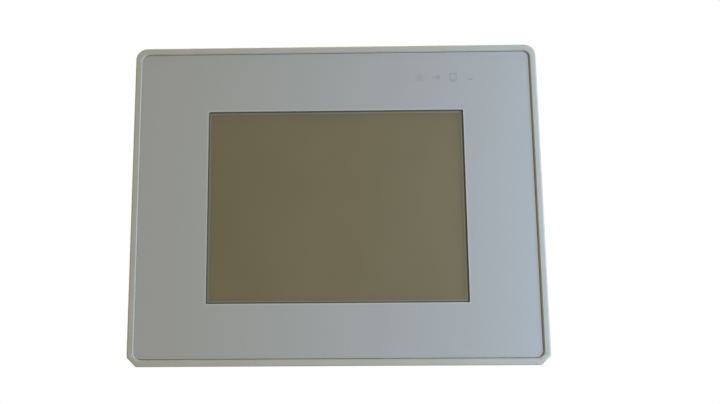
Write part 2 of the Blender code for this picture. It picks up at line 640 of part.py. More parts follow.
def service_flap():
    """Hinged flap that closes the service opening, and the pin through its knuckles."""
    slack = 0.4 * mm
    axis = Vector((0, HINGE_Y, HINGE_Z))
    x0, x1 = SERVICE["x0"] + slack, SERVICE["x1"] - slack
    z0, z1 = SERVICE["z0"] + slack, SERVICE["z1"] - slack
    flap = place("service_flap", box(x0, x1, 45.2 * mm, BODY_REAR, z0, z1), "housing", axis)
    for start, end in FLAP_KNUCKLES:
        start, end = start * mm, end * mm
        join(
            flap,
            box(start, end, 46 * mm, 49.9 * mm, 42.6 * mm, z1),
            box(start, end, BODY_REAR + GAP, 49.9 * mm, 42.6 * mm, HINGE_Z),
            turned("X", axis, [(start, KNUCKLE_RADIUS), (end, KNUCKLE_RADIUS)], 12),
        )
    bore = turned("X", axis, HINGE_BORE, 10)
    grip = [box(-50 * mm, -36 * mm, 46.5 * mm, 48 * mm, z * mm, (z + 0.8) * mm) for z in (14, 16, 18)]
    cut(flap, merged(bore, *grip))
    pin = turned("X", axis, [(-63.4 * mm, PIN_RADIUS), (-22.6 * mm, PIN_RADIUS)], 10)
    place("flap_hinge_pin", pin, "screw")


# ---------------------------------------------------------------- rear cover


def vent_slots():
    """Slots through the top wall, and two columns of slots through the rear wall."""
    top = [
        box((x - 1.2) * mm, (x + 1.2) * mm, 21 * mm, 41 * mm, 55 * mm, 62 * mm)
        for x in range(-63, 64, 9)
    ]
    rear = [
        box(x * mm, (x + 30) * mm, 44 * mm, 48 * mm, z * mm, (z + 2.2) * mm)
        for x in (2, 38)
        for z in range(-14, 48, 6)
    ]
    return top + rear


def port_openings():
    """Openings through the floor of the body for the ports, one for each."""
    low, high = BODY_BOTTOM - 1 * mm, BODY_BOTTOM + WALL + 1 * mm
    slack = 0.4 * mm
    made = []
    for x, shell, screws in ((SERIAL_15_X, 25.0, 33.3), (SERIAL_9_X, 16.7, 25.0)):
        outline = d_outline(shell * mm + 2 * slack, 8.4 * mm + 2 * slack, (x, PORT_Y))
        made.append(prism("Z", outline, low, high))
        for side in (-1, 1):
            post = (x + side * screws / 2 * mm, PORT_Y, 0)
            made.append(turned("Z", post, [(low, 1.8 * mm), (high, 1.8 * mm)], 10))
    for x, half, y0, y1 in (
        (NETWORK_X, 8 * mm, PARTS_Y, 32.4 * mm),
        (USB_X, 6.6 * mm, 21.4 * mm, 27.2 * mm),
        (POWER_X, 9.4 * mm, PARTS_Y, 32 * mm),
    ):
        made.append(box(x - half - slack, x + half + slack, y0 - slack, y1 + slack, low, high))
    made.append(turned("Z", (EARTH_X, PORT_Y, 0), [(low, 1.9 * mm), (high, 1.9 * mm)], 12))
    return made


def rear_cover():
    """Moulded cover: a collar that fills the cut-out and a smaller body behind it."""
    body_w, body_h = BODY_RIGHT - BODY_LEFT, BODY_TOP - BODY_BOTTOM
    middle = ((BODY_LEFT + BODY_RIGHT) / 2, (BODY_TOP + BODY_BOTTOM) / 2)
    edge = 1.2 * mm

    def collar(inset, y):
        size = (COLLAR_WIDTH - 2 * inset, COLLAR_HEIGHT - 2 * inset, BODY_RADIUS - inset)
        return along("Y", rounded_rect(*size), y)

    def body(inset, y, radius=None):
        radius = BODY_RADIUS - inset if radius is None else radius
        outline = rounded_rect(body_w - 2 * inset, body_h - 2 * inset, radius, middle)
        return along("Y", outline, y)

    rings = [
        body(WALL, BODY_REAR - WALL), body(WALL, COLLAR_REAR - WALL),
        collar(WALL, COLLAR_REAR - WALL), collar(WALL, GAP), collar(0, GAP),
        collar(0, COLLAR_REAR - edge), collar(edge * 0.3, COLLAR_REAR - edge * 0.3),
        collar(edge, COLLAR_REAR), body(0, COLLAR_REAR), body(0, BODY_REAR - edge),
        body(edge * 0.3, BODY_REAR - edge * 0.3), body(edge, BODY_REAR),
    ]
    cover = place("rear_cover", skin(rings), "housing")

    # Shroud round the service opening, whose end is the ledge that the closed flap rests on
    s, inner, outer = SERVICE, 1.3 * mm, 1.5 * mm
    join(cover, box(s["x0"] - outer, s["x1"] + outer, 36 * mm, 45.5 * mm, s["z0"] - outer, s["z1"] + outer))
    hole = box(s["x0"] + inner, s["x1"] - inner, 35 * mm, 48 * mm, s["z0"] + inner, s["z1"] - inner)
    seat = box(s["x0"], s["x1"], BODY_REAR - WALL, 48 * mm, s["z0"], s["z1"])
    cut(cover, hole)
    cut(cover, seat)
    cut(cover, turned("Y", (-43 * mm, 0, s["z0"]), [(45.4 * mm, 6 * mm), (48 * mm, 6 * mm)], 20))

    for start, end in COVER_KNUCKLES:
        start, end = start * mm, end * mm
        join(
            cover,
            box(start, end, 46.2 * mm, HINGE_Y, HINGE_Z - KNUCKLE_RADIUS, HINGE_Z + KNUCKLE_RADIUS),
            turned("X", (0, HINGE_Y, HINGE_Z), [(start, KNUCKLE_RADIUS), (end, KNUCKLE_RADIUS)], 12),
        )
    bore = turned("X", (0, HINGE_Y, HINGE_Z), HINGE_BORE, 10)
    screw_holes = [
        turned("Y", (x, 0, z), [(10 * mm, 1.8 * mm), (18 * mm, 1.8 * mm)], 12) for x, z in COVER_SCREWS
    ]
    cut(cover, merged(bore, *screw_holes, *vent_slots(), *port_openings()))

    card = box(
        70 * mm, 85 * mm, CARD_Y0 - 0.4 * mm, CARD_Y1 + 0.4 * mm,
        CARD_Z - CARD_HALF - 0.4 * mm, CARD_Z + CARD_HALF + 0.4 * mm,
    )
    label = box(-68 * mm, -12 * mm, BODY_REAR - 0.8 * mm, 48 * mm, -41 * mm, -9 * mm)
    hooks = []
    for z in CLAMP_Z:
        for side in (-1, 1):
            x0, x1 = sorted((side * 70 * mm, side * 85 * mm))
            hooks.append(box(x0, x1, 19.4 * mm, 26.4 * mm, z - 5.4 * mm, z + 5.4 * mm))
    cut(cover, merged(card, label, *hooks))

    plate = box(-67.6 * mm, -12.4 * mm, BODY_REAR - 0.5 * mm, BODY_REAR + 0.1 * mm, -40.6 * mm, -9.4 * mm)
    place("rating_plate", plate, "alu")


def cover_fasteners():
    """Four screws into the faceplate's bosses, and the earth screw beside the power plug."""
    profile = [
        (2 * mm, 1.2 * mm), (15.8 * mm, 1.2 * mm), (15.8 * mm, 2.75 * mm),
        (17.3 * mm, 2.75 * mm), (17.9 * mm, 2 * mm),
    ]
    for number, (x, z) in enumerate(COVER_SCREWS, 1):
        screw = place(f"cover_screw_{number}", turned("Y", (x, 0, z), profile, 14), "screw")
        arms = [
            box(x - a, x + a, 16.7 * mm, 19 * mm, z - b, z + b)
            for a, b in ((1.6 * mm, 0.35 * mm), (0.35 * mm, 1.6 * mm))
        ]
        cut(screw, arms[0])
        cut(screw, arms[1])
    earth = [
        (-53.8 * mm, 2.6 * mm), (-53.2 * mm, 3.3 * mm), (-51.4 * mm, 3.3 * mm),
        (-51.4 * mm, 3.9 * mm), (-50.3 * mm, 3.9 * mm), (-50.3 * mm, 1.6 * mm), (-42 * mm, 1.6 * mm),
    ]
    earth = place("earth_screw", turned("Z", (EARTH_X, PORT_Y, 0), earth, 16), "screw")
    near, far = PORT_Y - 0.4 * mm, PORT_Y + 0.4 * mm
    cut(earth, box(EARTH_X - 4 * mm, EARTH_X + 4 * mm, near, far, -55 * mm, -52.8 * mm))


# ---------------------------------------------------------------- clamps


def clamp(number, side, z):
    """One of four clamps: a bracket hooked in the body's side wall, a screw and its foot."""

    def block(x0, x1, y0, y1, half, bevel=0.0):
        low, high = sorted((side * x0, side * x1))
        return box(low, high, y0, y1, z - half, z + half, bevel)

    wall = BODY_RIGHT + GAP
    plate = block(wall, wall + 2.6 * mm, 17.5 * mm, 33 * mm, 8 * mm, 0.4 * mm)
    bracket = place(f"clamp_bracket_{number}", plate, "steel")
    join(
        bracket,
        block(wall + 1 * mm, CLAMP_LUG_X, 23 * mm, 30 * mm, 5 * mm, 0.6 * mm),
        block(75 * mm, wall + 1 * mm, 22.6 * mm, 26.1 * mm, 5 * mm),
        block(75 * mm, 76.4 * mm, 22.6 * mm, 28.9 * mm, 5 * mm),
    )
    axis = (side * CLAMP_X, 0, z)
    hole = CLAMP_THREAD_RADIUS + RUNNING_GAP
    cut(bracket, turned("Y", axis, [(20 * mm, hole), (34 * mm, hole)], 16))

    tip, shank = 1.35 * mm, CLAMP_THREAD_RADIUS
    neck = CLAMP_FOOT_REAR + GAP
    profile = [
        (10.2 * mm, tip), (neck, tip), (neck, shank - 0.4 * mm), (neck + 0.4 * mm, shank),
        (CLAMP_HEAD_Y, shank), (CLAMP_HEAD_Y, 3.5 * mm), (CLAMP_HEAD_Y + 1.8 * mm, 3.5 * mm),
        (CLAMP_HEAD_Y + 2.4 * mm, 2.7 * mm),
    ]
    screw = place(f"clamp_screw_{number}", turned("Y", axis, profile, 16), "screw", axis)
    top = CLAMP_HEAD_Y + 2.4 * mm
    left, right = axis[0] - 4 * mm, axis[0] + 4 * mm
    cut(screw, box(left, right, top - 1.3 * mm, top + mm, z - 0.45 * mm, z + 0.45 * mm))

    foot = [
        (CLAMP_FOOT_FRONT, CLAMP_FOOT_RADIUS - 0.3 * mm), (CLAMP_FOOT_FRONT + 0.3 * mm, CLAMP_FOOT_RADIUS),
        (CLAMP_FOOT_REAR, CLAMP_FOOT_RADIUS),
    ]
    foot = place(f"clamp_foot_{number}", turned("Y", axis, foot, 16), "rubber", axis)
    cut(foot, turned("Y", axis, [(9.8 * mm, 1.5 * mm), (12 * mm, 1.5 * mm)], 12))


def clamps():
    corners = [(side, z) for z in CLAMP_Z for side in (-1, 1)]
    for number, (side, z) in enumerate(corners, 1):
        clamp(number, side, z)


clear_scene()
front_bezel()
panel_gasket()
front_overlay()
touch_screen()
display_module()
indicators()
chassis_plate()
main_board()
inverter_board()
card_slot()
ports()
power_connector()
service_bay()
service_flap()
rear_cover()
cover_fasteners()
clamps()
shade_round_surfaces()
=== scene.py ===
"""Looks of the panel-mounted operator terminal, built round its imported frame.

Frame: +X to the operator's right, +Z up, +Y from the operator into the cabinet, in metres.
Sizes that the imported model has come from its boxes; the rest are named here.
"""

import json
import math

import bmesh
import bpy
from mathutils import Matrix, Vector


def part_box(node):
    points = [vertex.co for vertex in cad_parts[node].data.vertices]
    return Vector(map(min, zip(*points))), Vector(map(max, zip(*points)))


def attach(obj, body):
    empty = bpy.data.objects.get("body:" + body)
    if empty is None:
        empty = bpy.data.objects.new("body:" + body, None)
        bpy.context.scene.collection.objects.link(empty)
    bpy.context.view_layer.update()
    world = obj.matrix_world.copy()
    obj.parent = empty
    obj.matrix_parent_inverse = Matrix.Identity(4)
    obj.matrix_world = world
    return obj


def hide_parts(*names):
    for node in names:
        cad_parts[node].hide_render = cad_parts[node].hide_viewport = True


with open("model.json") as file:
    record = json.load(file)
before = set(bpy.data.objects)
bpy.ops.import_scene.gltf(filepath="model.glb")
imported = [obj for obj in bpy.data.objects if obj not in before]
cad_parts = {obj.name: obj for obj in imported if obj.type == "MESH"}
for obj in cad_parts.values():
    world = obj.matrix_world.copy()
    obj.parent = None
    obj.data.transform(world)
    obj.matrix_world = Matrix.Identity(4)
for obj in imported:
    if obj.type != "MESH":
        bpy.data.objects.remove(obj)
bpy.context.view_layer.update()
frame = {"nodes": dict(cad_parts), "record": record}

mm = 0.001
ROOT = "terminal"

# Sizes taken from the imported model
FACE_LOW, FACE_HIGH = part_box("front_bezel")
FACE_WIDTH, FACE_HEIGHT = FACE_HIGH.x - FACE_LOW.x, FACE_HIGH.z - FACE_LOW.z
FACE_FRONT, BOSS_REAR = FACE_LOW.y, FACE_HIGH.y
FILM_LOW, FILM_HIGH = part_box("front_overlay")
GLASS_LOW, GLASS_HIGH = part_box("touch_screen")
PLATE_LOW, PLATE_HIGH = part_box("rating_plate")
GUIDE_LOW, GUIDE_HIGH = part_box("indicator_light_guide")

# Sizes that a box doesn't show
BODY_LOW_Z, BODY_REAR = -50 * mm, 47 * mm
FACE_RADIUS, FACE_CHAMFER, CHAMFER_RADIUS = 5.4 * mm, 4.2 * mm, 1.4 * mm
LIP_WIDTH, LIP_RADIUS, LIP_ROUND, LIP_SLOPE = 3.15 * mm, 3.2 * mm, 0.9 * mm, 0.55 * mm
RECESS_FLOOR, TOUCH_LEDGE = -3.5 * mm, -1.3 * mm
WINDOW_WIDTH, WINDOW_HEIGHT, WINDOW_Z = 117.6 * mm, 88.4 * mm, -1.75 * mm
WINDOW_RADIUS = 0.6 * mm
WINDOW = (0, WINDOW_Z)
SLACK = 0.3 * mm  # room round the touch glass
FILM_SHIFT = -0.18 * mm  # the film was laid close to the left side of its recess
INK = 0.02 * mm  # height of a printed line above its surface
STATUS_PITCH, STATUS_COUNT = 7.8 * mm, 4
STATUS_Z = (GUIDE_LOW.z + GUIDE_HIGH.z) / 2
STATUS_X = [
    (GUIDE_LOW.x + GUIDE_HIGH.x) / 2 + (i - (STATUS_COUNT - 1) / 2) * STATUS_PITCH
    for i in range(STATUS_COUNT)
]

POST_OFFSET = 5.6 * mm  # from an outer status light to the post beside it

# Steps of a quarter corner, and sides of large, small and very small round pieces
CORNER_STEPS, ROUND_STEPS, SMALL_STEPS, PIN_STEPS = 17, 40, 24, 16


# ---------------------------------------------------------------- outlines and solids


def rounded_rect(width, height, radius, centre=(0, 0), steps=CORNER_STEPS):
    """Points (u, v) round a rectangle with round corners, the same count for any size."""
    points = []
    for quarter, (su, sv) in enumerate(((1, 1), (-1, 1), (-1, -1), (1, -1))):
        u0 = centre[0] + su * (width / 2 - radius)
        v0 = centre[1] + sv * (height / 2 - radius)
        for i in range(steps + 1):
            a = math.radians(90) * (quarter + i / steps)
            points.append((u0 + radius * math.cos(a), v0 + radius * math.sin(a)))
    return points


def face_outline(inset):
    """The faceplate's outline: round upper corners, and lower corners cut at 45 degrees."""
    width, height = FACE_WIDTH - 2 * inset, FACE_HEIGHT - 2 * inset
    points = rounded_rect(width, height, FACE_RADIUS - inset)[: 2 * (CORNER_STEPS + 1)]
    blend = CHAMFER_RADIUS - inset
    cut_back = FACE_CHAMFER - inset * (2 - math.sqrt(2))
    reach = cut_back + blend * math.tan(math.radians(22.5))
    half_steps = CORNER_STEPS // 2
    for quarter, side in ((2, -1), (3, 1)):
        for end in (0, 1):
            du, dv = (blend, reach) if (quarter + end) % 2 == 0 else (reach, blend)
            u0, v0 = side * (width / 2 - du), dv - height / 2
            for i in range(half_steps + 1):
                a = math.radians(90 * quarter + 45 * (end + i / half_steps))
                points.append((u0 + blend * math.cos(a), v0 + blend * math.sin(a)))
    return points


def circle(radius, steps=ROUND_STEPS, centre=(0, 0), start=0.0):
    """Points (u, v) round a circle, from the start angle in radians."""
    turn = 2 * math.pi
    return [
        (
            centre[0] + radius * math.cos(start + turn * i / steps),
            centre[1] + radius * math.sin(start + turn * i / steps),
        )
        for i in range(steps)
    ]


def along(axis, outline, distance, origin=(0, 0, 0)):
    """The outline in space, perpendicular to the axis and at this distance along it."""
    made = []
    for u, v in outline:
        point = {"Y": (u, distance, v), "Z": (u, v, distance)}[axis]
        made.append(Vector(point) + Vector(origin))
    return made


def skin(rings, loop=False):
    """A closed surface through rings of equal count: capped, or joined end to start."""
    shape = bmesh.new()
    rows = [[shape.verts.new(p) for p in ring] for ring in rings]
    for near, far in zip(rows, rows[1:] + (rows[:1] if loop else [])):
        for i, corner in enumerate(near):
            shape.faces.new((corner, far[i], far[i - 1], near[i - 1]))
    if not loop:
        shape.faces.new(rows[0])
        shape.faces.new(rows[-1])
    bmesh.ops.recalc_face_normals(shape, faces=shape.faces)
    return shape


def prism(axis, outline, start, end):
    """The outline extruded along the axis."""
    return skin([along(axis, outline, start), along(axis, outline, end)])


def box(x0, x1, y0, y1, z0, z1, bevel=0.0):
    """A block between these limits, with rounded edges where a bevel is given."""
    shape = prism("Y", [(x0, z0), (x1, z0), (x1, z1), (x0, z1)], y0, y1)
    if bevel:
        bmesh.ops.bevel(
            shape, geom=list(shape.edges), offset=bevel, segments=2, profile=0.5, affect="EDGES"
        )
    return shape


def turned(axis, origin, profile, steps=ROUND_STEPS):
    """A solid of revolution. profile lists (distance along the axis, radius)."""
    return skin([along(axis, circle(r, steps), d, origin) for d, r in profile])


def ring(axis, outer, inner, start, end):
    """A frame between two outlines of equal count."""
    rings = [along(axis, outer, start), along(axis, outer, end)]
    rings += [along(axis, inner, end), along(axis, inner, start)]
    return skin(rings, loop=True)


def merged(*shapes):
    """Several shapes as one set of faces."""
    whole = bmesh.new()
    for shape in shapes:
        part = bpy.data.meshes.new("part")
        shape.to_mesh(part)
        whole.from_mesh(part)
        shape.free()
        bpy.data.meshes.remove(part)
    return whole


def make_object(name, shape):
    mesh = bpy.data.meshes.new(name)
    shape.to_mesh(mesh)
    shape.free()
    obj = bpy.data.objects.new(name, mesh)
    bpy.context.scene.collection.objects.link(obj)
    return obj


def place(name, shape, finish, body=ROOT, stands_for=(), crease=35):
    """Makes a piece of the shape that rides on a body, in place of the CAD nodes it names."""
    obj = make_object(name, shape)
    obj.data.materials.append(FINISH[finish])
    obj.data.shade_smooth()
    obj.data.set_sharp_from_angle(angle=math.radians(crease))
    flatten = obj.modifiers.new("flat faces stay flat", "WEIGHTED_NORMAL")
    flatten.keep_sharp = True
    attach(obj, body)
    if stands_for:
        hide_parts(*stands_for)
    return obj


def cut(obj, *shapes):
    """Cuts the shapes out of the piece and keeps the result as its mesh."""
    tool = make_object("tool", merged(*shapes))
    modifier = obj.modifiers.new("cut", "BOOLEAN")
    modifier.operation, modifier.solver, modifier.object = "DIFFERENCE", "EXACT", tool
    obj.modifiers.move(len(obj.modifiers) - 1, 0)
    bpy.context.view_layer.update()
    evaluated = obj.evaluated_get(bpy.context.evaluated_depsgraph_get())
    result = bpy.data.meshes.new_from_object(evaluated)
    obj.modifiers.remove(modifier)
    old = obj.data
    obj.data = result
    bpy.data.meshes.remove(old)
    bpy.data.objects.remove(tool)
    obj.data.set_sharp_from_angle(angle=math.radians(35))


# ---------------------------------------------------------------- materials


class Recipe:
    """A material under construction: its nodes, and short ways to add and join them."""

    def __init__(self, name, roughness=0.5, metallic=0.0, **sockets):
        self.material = bpy.data.materials.new(name)
        self.material.use_nodes = True
        self.tree = self.material.node_tree
        self.shader = self.tree.nodes["Principled BSDF"]
        self.shader.inputs["Roughness"].default_value = roughness
        self.shader.inputs["Metallic"].default_value = metallic
        for socket, value in sockets.items():
            self.shader.inputs[socket.replace("_", " ")].default_value = value
        self.place = self.node("ShaderNodeTexCoord").outputs["Object"]

    def node(self, kind, **inputs):
        made = self.tree.nodes.new(kind)
        for socket, value in inputs.items():
            self.feed(value, made.inputs[socket.replace("_", " ")])
        return made

    def feed(self, value, socket):
        """Links an output to the socket, or sets the socket to a value."""
        if isinstance(value, bpy.types.NodeSocket):
            self.tree.links.new(value, socket)
        else:
            socket.default_value = value

    def stretched(self, x, y, z):
        """The object's coordinates, scaled along each axis."""
        scaled = self.node("ShaderNodeVectorMath", Vector=self.place)
        scaled.operation = "MULTIPLY"
        scaled.inputs[1].default_value = (x, y, z)
        return scaled.outputs["Vector"]

    def noise(self, cell, detail=3, at=None):
        """Noise whose cells are about this wide, in metres."""
        made = self.node(
            "ShaderNodeTexNoise", Vector=at or self.place, Scale=1 / cell, Detail=detail
        )
        return made.outputs["Fac"]

    def between(self, factor, low, high, start=0.3, end=0.7):
        """Follows the factor from low to high."""
        made = self.node("ShaderNodeMapRange", Value=factor)
        made.inputs["From Min"].default_value = start
        made.inputs["From Max"].default_value = end
        made.inputs["To Min"].default_value = low
        made.inputs["To Max"].default_value = high
        return made.outputs["Result"]

    def shades(self, factor, *stops):
        """A colour ramp with (position, colour) stops."""
        made = self.node("ShaderNodeValToRGB", Fac=factor)
        ramp = made.color_ramp
        while len(ramp.elements) < len(stops):
            ramp.elements.new(0.5)
        for element, (position, colour) in zip(ramp.elements, stops):
            element.position = position
            element.color = (*colour, 1)
        return made.outputs["Color"]

    def mixed(self, factor, low, high):
        """Between two colours, each a link or a value."""
        made = self.tree.nodes.new("ShaderNodeMix")
        made.data_type = "RGBA"
        sockets = [s for s in made.inputs if s.type == "RGBA"]
        self.feed(factor, made.inputs["Factor"])
        for value, socket in zip((low, high), sockets):
            self.feed(value if isinstance(value, bpy.types.NodeSocket) else (*value, 1), socket)
        return next(s for s in made.outputs if s.type == "RGBA")

    def bump(self, height, depth):
        """Raises the surface by up to this depth, in metres, where the height is 1."""
        made = self.node("ShaderNodeBump", Height=height, Distance=depth)
        self.tree.links.new(made.outputs["Normal"], self.shader.inputs["Normal"])

    def colour(self, value):
        self.feed(value, self.shader.inputs["Base Color"])

    def vary(self, factor, colour, low, high):
        """Gives the base colour, from its low to its high share as the factor rises."""
        self.colour(self.shades(factor, (0.3, shaded(colour, low)), (0.7, shaded(colour, high))))

    def gloss(self, value):
        self.feed(value, self.shader.inputs["Roughness"])


def shaded(colour, share):
    """The colour, made darker or lighter by this share."""
    return tuple(c * share for c in colour)


def moulded(name, colour, roughness, grain, depth, spread):
    """Moulded plastic: spark-eroded grain, slight clouding and uneven gloss."""
    made = Recipe(name)
    made.vary(made.noise(18 * mm, 2), colour, 1 - spread, 1 + spread)
    fine = made.noise(grain, 2)
    made.gloss(made.between(fine, roughness - 0.05, roughness + 0.07))
    made.bump(fine, depth)
    return made.material


def printed_film(colour):
    """Polyester film, printed on its rear: matt, with a very fine even texture."""
    made = Recipe("overlay_film")
    speckle = made.noise(0.22 * mm, 2)
    made.vary(speckle, colour, 0.97, 1.03)
    made.gloss(made.between(made.noise(25 * mm, 2), 0.40, 0.48))
    made.bump(speckle, 0.006 * mm)
    return made.material


def touch_film(colour):
    """Hard-coated touch film with an anti-glare etch; the display shows dimly through it."""
    made = Recipe("touch_glass", Alpha=0.7)
    etch = made.noise(0.12 * mm, 2)
    made.vary(made.noise(30 * mm, 2), colour, 0.97, 1.03)
    made.gloss(made.between(etch, 0.32, 0.42))
    made.bump(etch, 0.003 * mm)
    return made.material


def display_cell(colour):
    """Unlit STN display: olive, with its fine rows and columns of dots."""
    made = Recipe("display_cell", roughness=0.35)
    dots = 0.36 * mm  # a wave repeats about three times in this length
    rows = made.node("ShaderNodeTexWave", Vector=made.place, Scale=1 / dots)
    rows.bands_direction = "Z"
    columns = made.node("ShaderNodeTexWave", Vector=made.place, Scale=1 / dots)
    columns.bands_direction = "X"
    grid = made.node("ShaderNodeMath")
    grid.operation = "MULTIPLY"
    made.feed(rows.outputs["Fac"], grid.inputs[0])
    made.feed(columns.outputs["Fac"], grid.inputs[1])
    made.colour(
        made.shades(grid.outputs[0], (0.0, shaded(colour, 0.95)), (1.0, shaded(colour, 1.04)))
    )
    return made.material


def rubber(name, colour):
    """Black rubber with a slight grey bloom."""
    made = Recipe(name, IOR=1.5)
    bloom = made.noise(4 * mm, 4)
    made.colour(
        made.shades(bloom, (0.3, colour), (0.75, tuple(c + 0.012 for c in colour)))
    )
    made.gloss(made.between(bloom, 0.62, 0.8))
    made.bump(made.noise(0.4 * mm, 3), 0.02 * mm)
    return made.material


def zinc_sheet(name, colour):
    """Passivated zinc on steel: faint blue and yellow clouds over the rolling grain."""
    made = Recipe(name, metallic=1.0)
    cloud = made.noise(7 * mm, 4)
    made.colour(
        made.shades(
            cloud,
            (0.25, shaded(colour, 0.86)),
            (0.5, colour),
            (0.8, (colour[0] * 1.02, colour[1], colour[2] * 0.88)),
        )
    )
    grain = made.noise(0.5 * mm, 3, made.stretched(1, 1, 0.06))
    made.gloss(made.between(grain, 0.3, 0.48))
    made.bump(grain, 0.006 * mm)
    return made.material


def plated(name, colour, roughness):
    """Plated steel or tin with fine turning and handling marks."""
    made = Recipe(name, metallic=1.0)
    marks = made.noise(0.3 * mm, 3, made.stretched(1, 0.2, 1))
    made.vary(marks, colour, 0.93, 1.02)
    made.gloss(made.between(marks, roughness - 0.04, roughness + 0.06))
    made.bump(marks, 0.002 * mm)
    return made.material


def brushed(name, colour, roughness):
    """Anodised aluminium with a grain along X."""
    made = Recipe(name, metallic=1.0, Anisotropic=0.4)
    grain = made.noise(0.3 * mm, 3, made.stretched(0.03, 1, 1))
    made.vary(grain, colour, 0.88, 1.03)
    made.gloss(made.between(grain, roughness - 0.06, roughness + 0.08))
    made.bump(grain, 0.005 * mm)
    return made.material


def circuit_board(name, mask, copper):
    """Green solder mask over copper: traces, ground areas and plated holes."""
    made = Recipe(name, Coat_Weight=0.3)
    apart = made.node("ShaderNodeSeparateXYZ", Vector=made.place)
    flat = made.node("ShaderNodeCombineXYZ", X=apart.outputs["X"], Y=apart.outputs["Z"])
    traces = made.node("ShaderNodeTexBrick", Vector=flat.outputs["Vector"], Scale=1 / (5 * mm))
    traces.inputs["Color1"].default_value = (1, 1, 1, 1)
    traces.inputs["Color2"].default_value = (0.6, 0.6, 0.6, 1)
    traces.inputs["Mortar"].default_value = (0, 0, 0, 1)
    traces.inputs["Mortar Size"].default_value = 0.05
    holes = made.node("ShaderNodeTexVoronoi", Vector=flat.outputs["Vector"], Scale=1 / (3.1 * mm))
    ringed = made.between(holes.outputs["Distance"], 1.0, 0.0, 0.10, 0.14)
    lines = made.mixed(traces.outputs["Fac"], mask, shaded(mask, 1.7))
    made.colour(made.mixed(ringed, lines, copper))
    made.gloss(made.between(made.noise(3 * mm), 0.28, 0.42))
    made.bump(traces.outputs["Fac"], 0.03 * mm)
    return made.material


def translucent(name, colour, roughness, alpha):
    """Clear moulded plastic or glass, with faint flow lines."""
    made = Recipe(name, Alpha=alpha, IOR=1.5)
    flow = made.noise(2 * mm, 2, made.stretched(0.2, 1, 1))
    made.vary(flow, colour, 0.92, 1)
    made.gloss(made.between(flow, roughness, roughness + 0.1))
    return made.material


def flat_cable(name, film, copper):
    """Polyimide film over parallel copper conductors, about 0.3 mm apart."""
    made = Recipe(name)
    lines = made.node("ShaderNodeTexWave", Vector=made.place, Scale=1 / mm)
    lines.bands_direction = "X"
    made.colour(made.mixed(made.between(lines.outputs["Fac"], 0, 1, 0.45, 0.55), film, copper))
    made.gloss(made.between(made.noise(1 * mm), 0.3, 0.45))
    made.bump(lines.outputs["Fac"], 0.03 * mm)
    return made.material


def ink_and_painted_light(name, colour):
    """Screen-printed ink with a slightly uneven gloss; also the painted highlight and shadow lines
    round the window.
    """
    made = Recipe(name)
    grain = made.noise(0.15 * mm, 2)
    made.vary(grain, colour, 0.95, 1.05)
    made.gloss(made.between(grain, 0.41, 0.49))
    return made.material


FINISH = {
    "bezel": moulded("bezel_plastic", (0.49, 0.452, 0.362), 0.46, 0.35 * mm, 0.012 * mm, 0.02),
    "film": printed_film((0.43, 0.41, 0.36)),
    # painted highlight: a pale line round the window standing in for light on its edge
    "film_highlight": ink_and_painted_light("window_highlight", (0.50, 0.475, 0.405)),
    "film_mark": ink_and_painted_light("status_ink", (0.343, 0.325, 0.288)),
    "pane": touch_film((0.277, 0.215, 0.107)),
    # painted shadow: dark lines on the touch glass just inside the window's edge, with a paler band
    # between them
    "pane_shadow_dark": ink_and_painted_light("painted_shadow_border", (0.10, 0.092, 0.058)),
    "pane_shadow_band": ink_and_painted_light("painted_shadow_band", (0.215, 0.19, 0.115)),
    "pane_shadow_line": ink_and_painted_light("painted_shadow_line", (0.155, 0.132, 0.07)),
    "cell": display_cell((0.212, 0.17, 0.086)),
    "housing": moulded("housing_plastic", (0.05, 0.052, 0.056), 0.5, 0.5 * mm, 0.05 * mm, 0.12),
    "rubber": rubber("seal_rubber", (0.016, 0.016, 0.017)),
    "zinc": zinc_sheet("zinc_steel", (0.52, 0.52, 0.50)),
    "shell": plated("connector_shell", (0.56, 0.56, 0.54), 0.34),
    "screw": plated("screw_steel", (0.50, 0.50, 0.51), 0.36),
    "board": circuit_board("circuit_board", (0.012, 0.085, 0.032), (0.55, 0.42, 0.16)),
    "black": moulded("black_plastic", (0.018, 0.018, 0.02), 0.42, 0.25 * mm, 0.015 * mm, 0.1),
    "alu": brushed("aluminium", (0.55, 0.55, 0.56), 0.48),
    "cell_steel": plated("cell_steel", (0.56, 0.56, 0.57), 0.34),
    "terminal": moulded("terminal_plastic", (0.022, 0.20, 0.06), 0.4, 0.3 * mm, 0.015 * mm, 0.08),
    "white": moulded("white_plastic", (0.74, 0.74, 0.70), 0.4, 0.3 * mm, 0.01 * mm, 0.03),
    "clear": translucent("light_guide_plastic", (0.86, 0.9, 0.9), 0.08, 0.45),
    "flex": flat_cable("flex_film", (0.30, 0.13, 0.02), (0.50, 0.28, 0.06)),
    "switch": moulded("switch_plastic", (0.42, 0.025, 0.02), 0.38, 0.3 * mm, 0.01 * mm, 0.06),
    "gold": plated("contact_gold", (0.83, 0.62, 0.22), 0.25),
    "label": ink_and_painted_light("plate_print", (0.10, 0.105, 0.11)),
}

# Which finish each material slot of the record gets, for the CAD nodes that stay
SLOT_FINISH = {
    "bezel_plastic": "bezel",
    "overlay_film": "film",
    "touch_glass": "pane",
    "display_cell": "cell",
    "housing_plastic": "housing",
    "seal_rubber": "rubber",
    "zinc_steel": "zinc",
    "connector_shell": "shell",
    "screw_steel": "screw",
    "circuit_board": "board",
    "black_plastic": "black",
    "aluminium": "alu",
    "cell_steel": "cell_steel",
    "terminal_plastic": "terminal",
    "white_plastic": "white",
    "light_guide_plastic": "clear",
    "flex_film": "flex",
    "switch_plastic": "switch",
}


def finish_cad_nodes():
    """Gives every CAD node the finish of its material slot."""
    for entry in frame["record"]["subparts"]:
        obj = frame["nodes"][entry["node"]]
        obj.data.materials.clear()
        obj.data.materials.append(FINISH[SLOT_FINISH[entry["material_slot"]]])


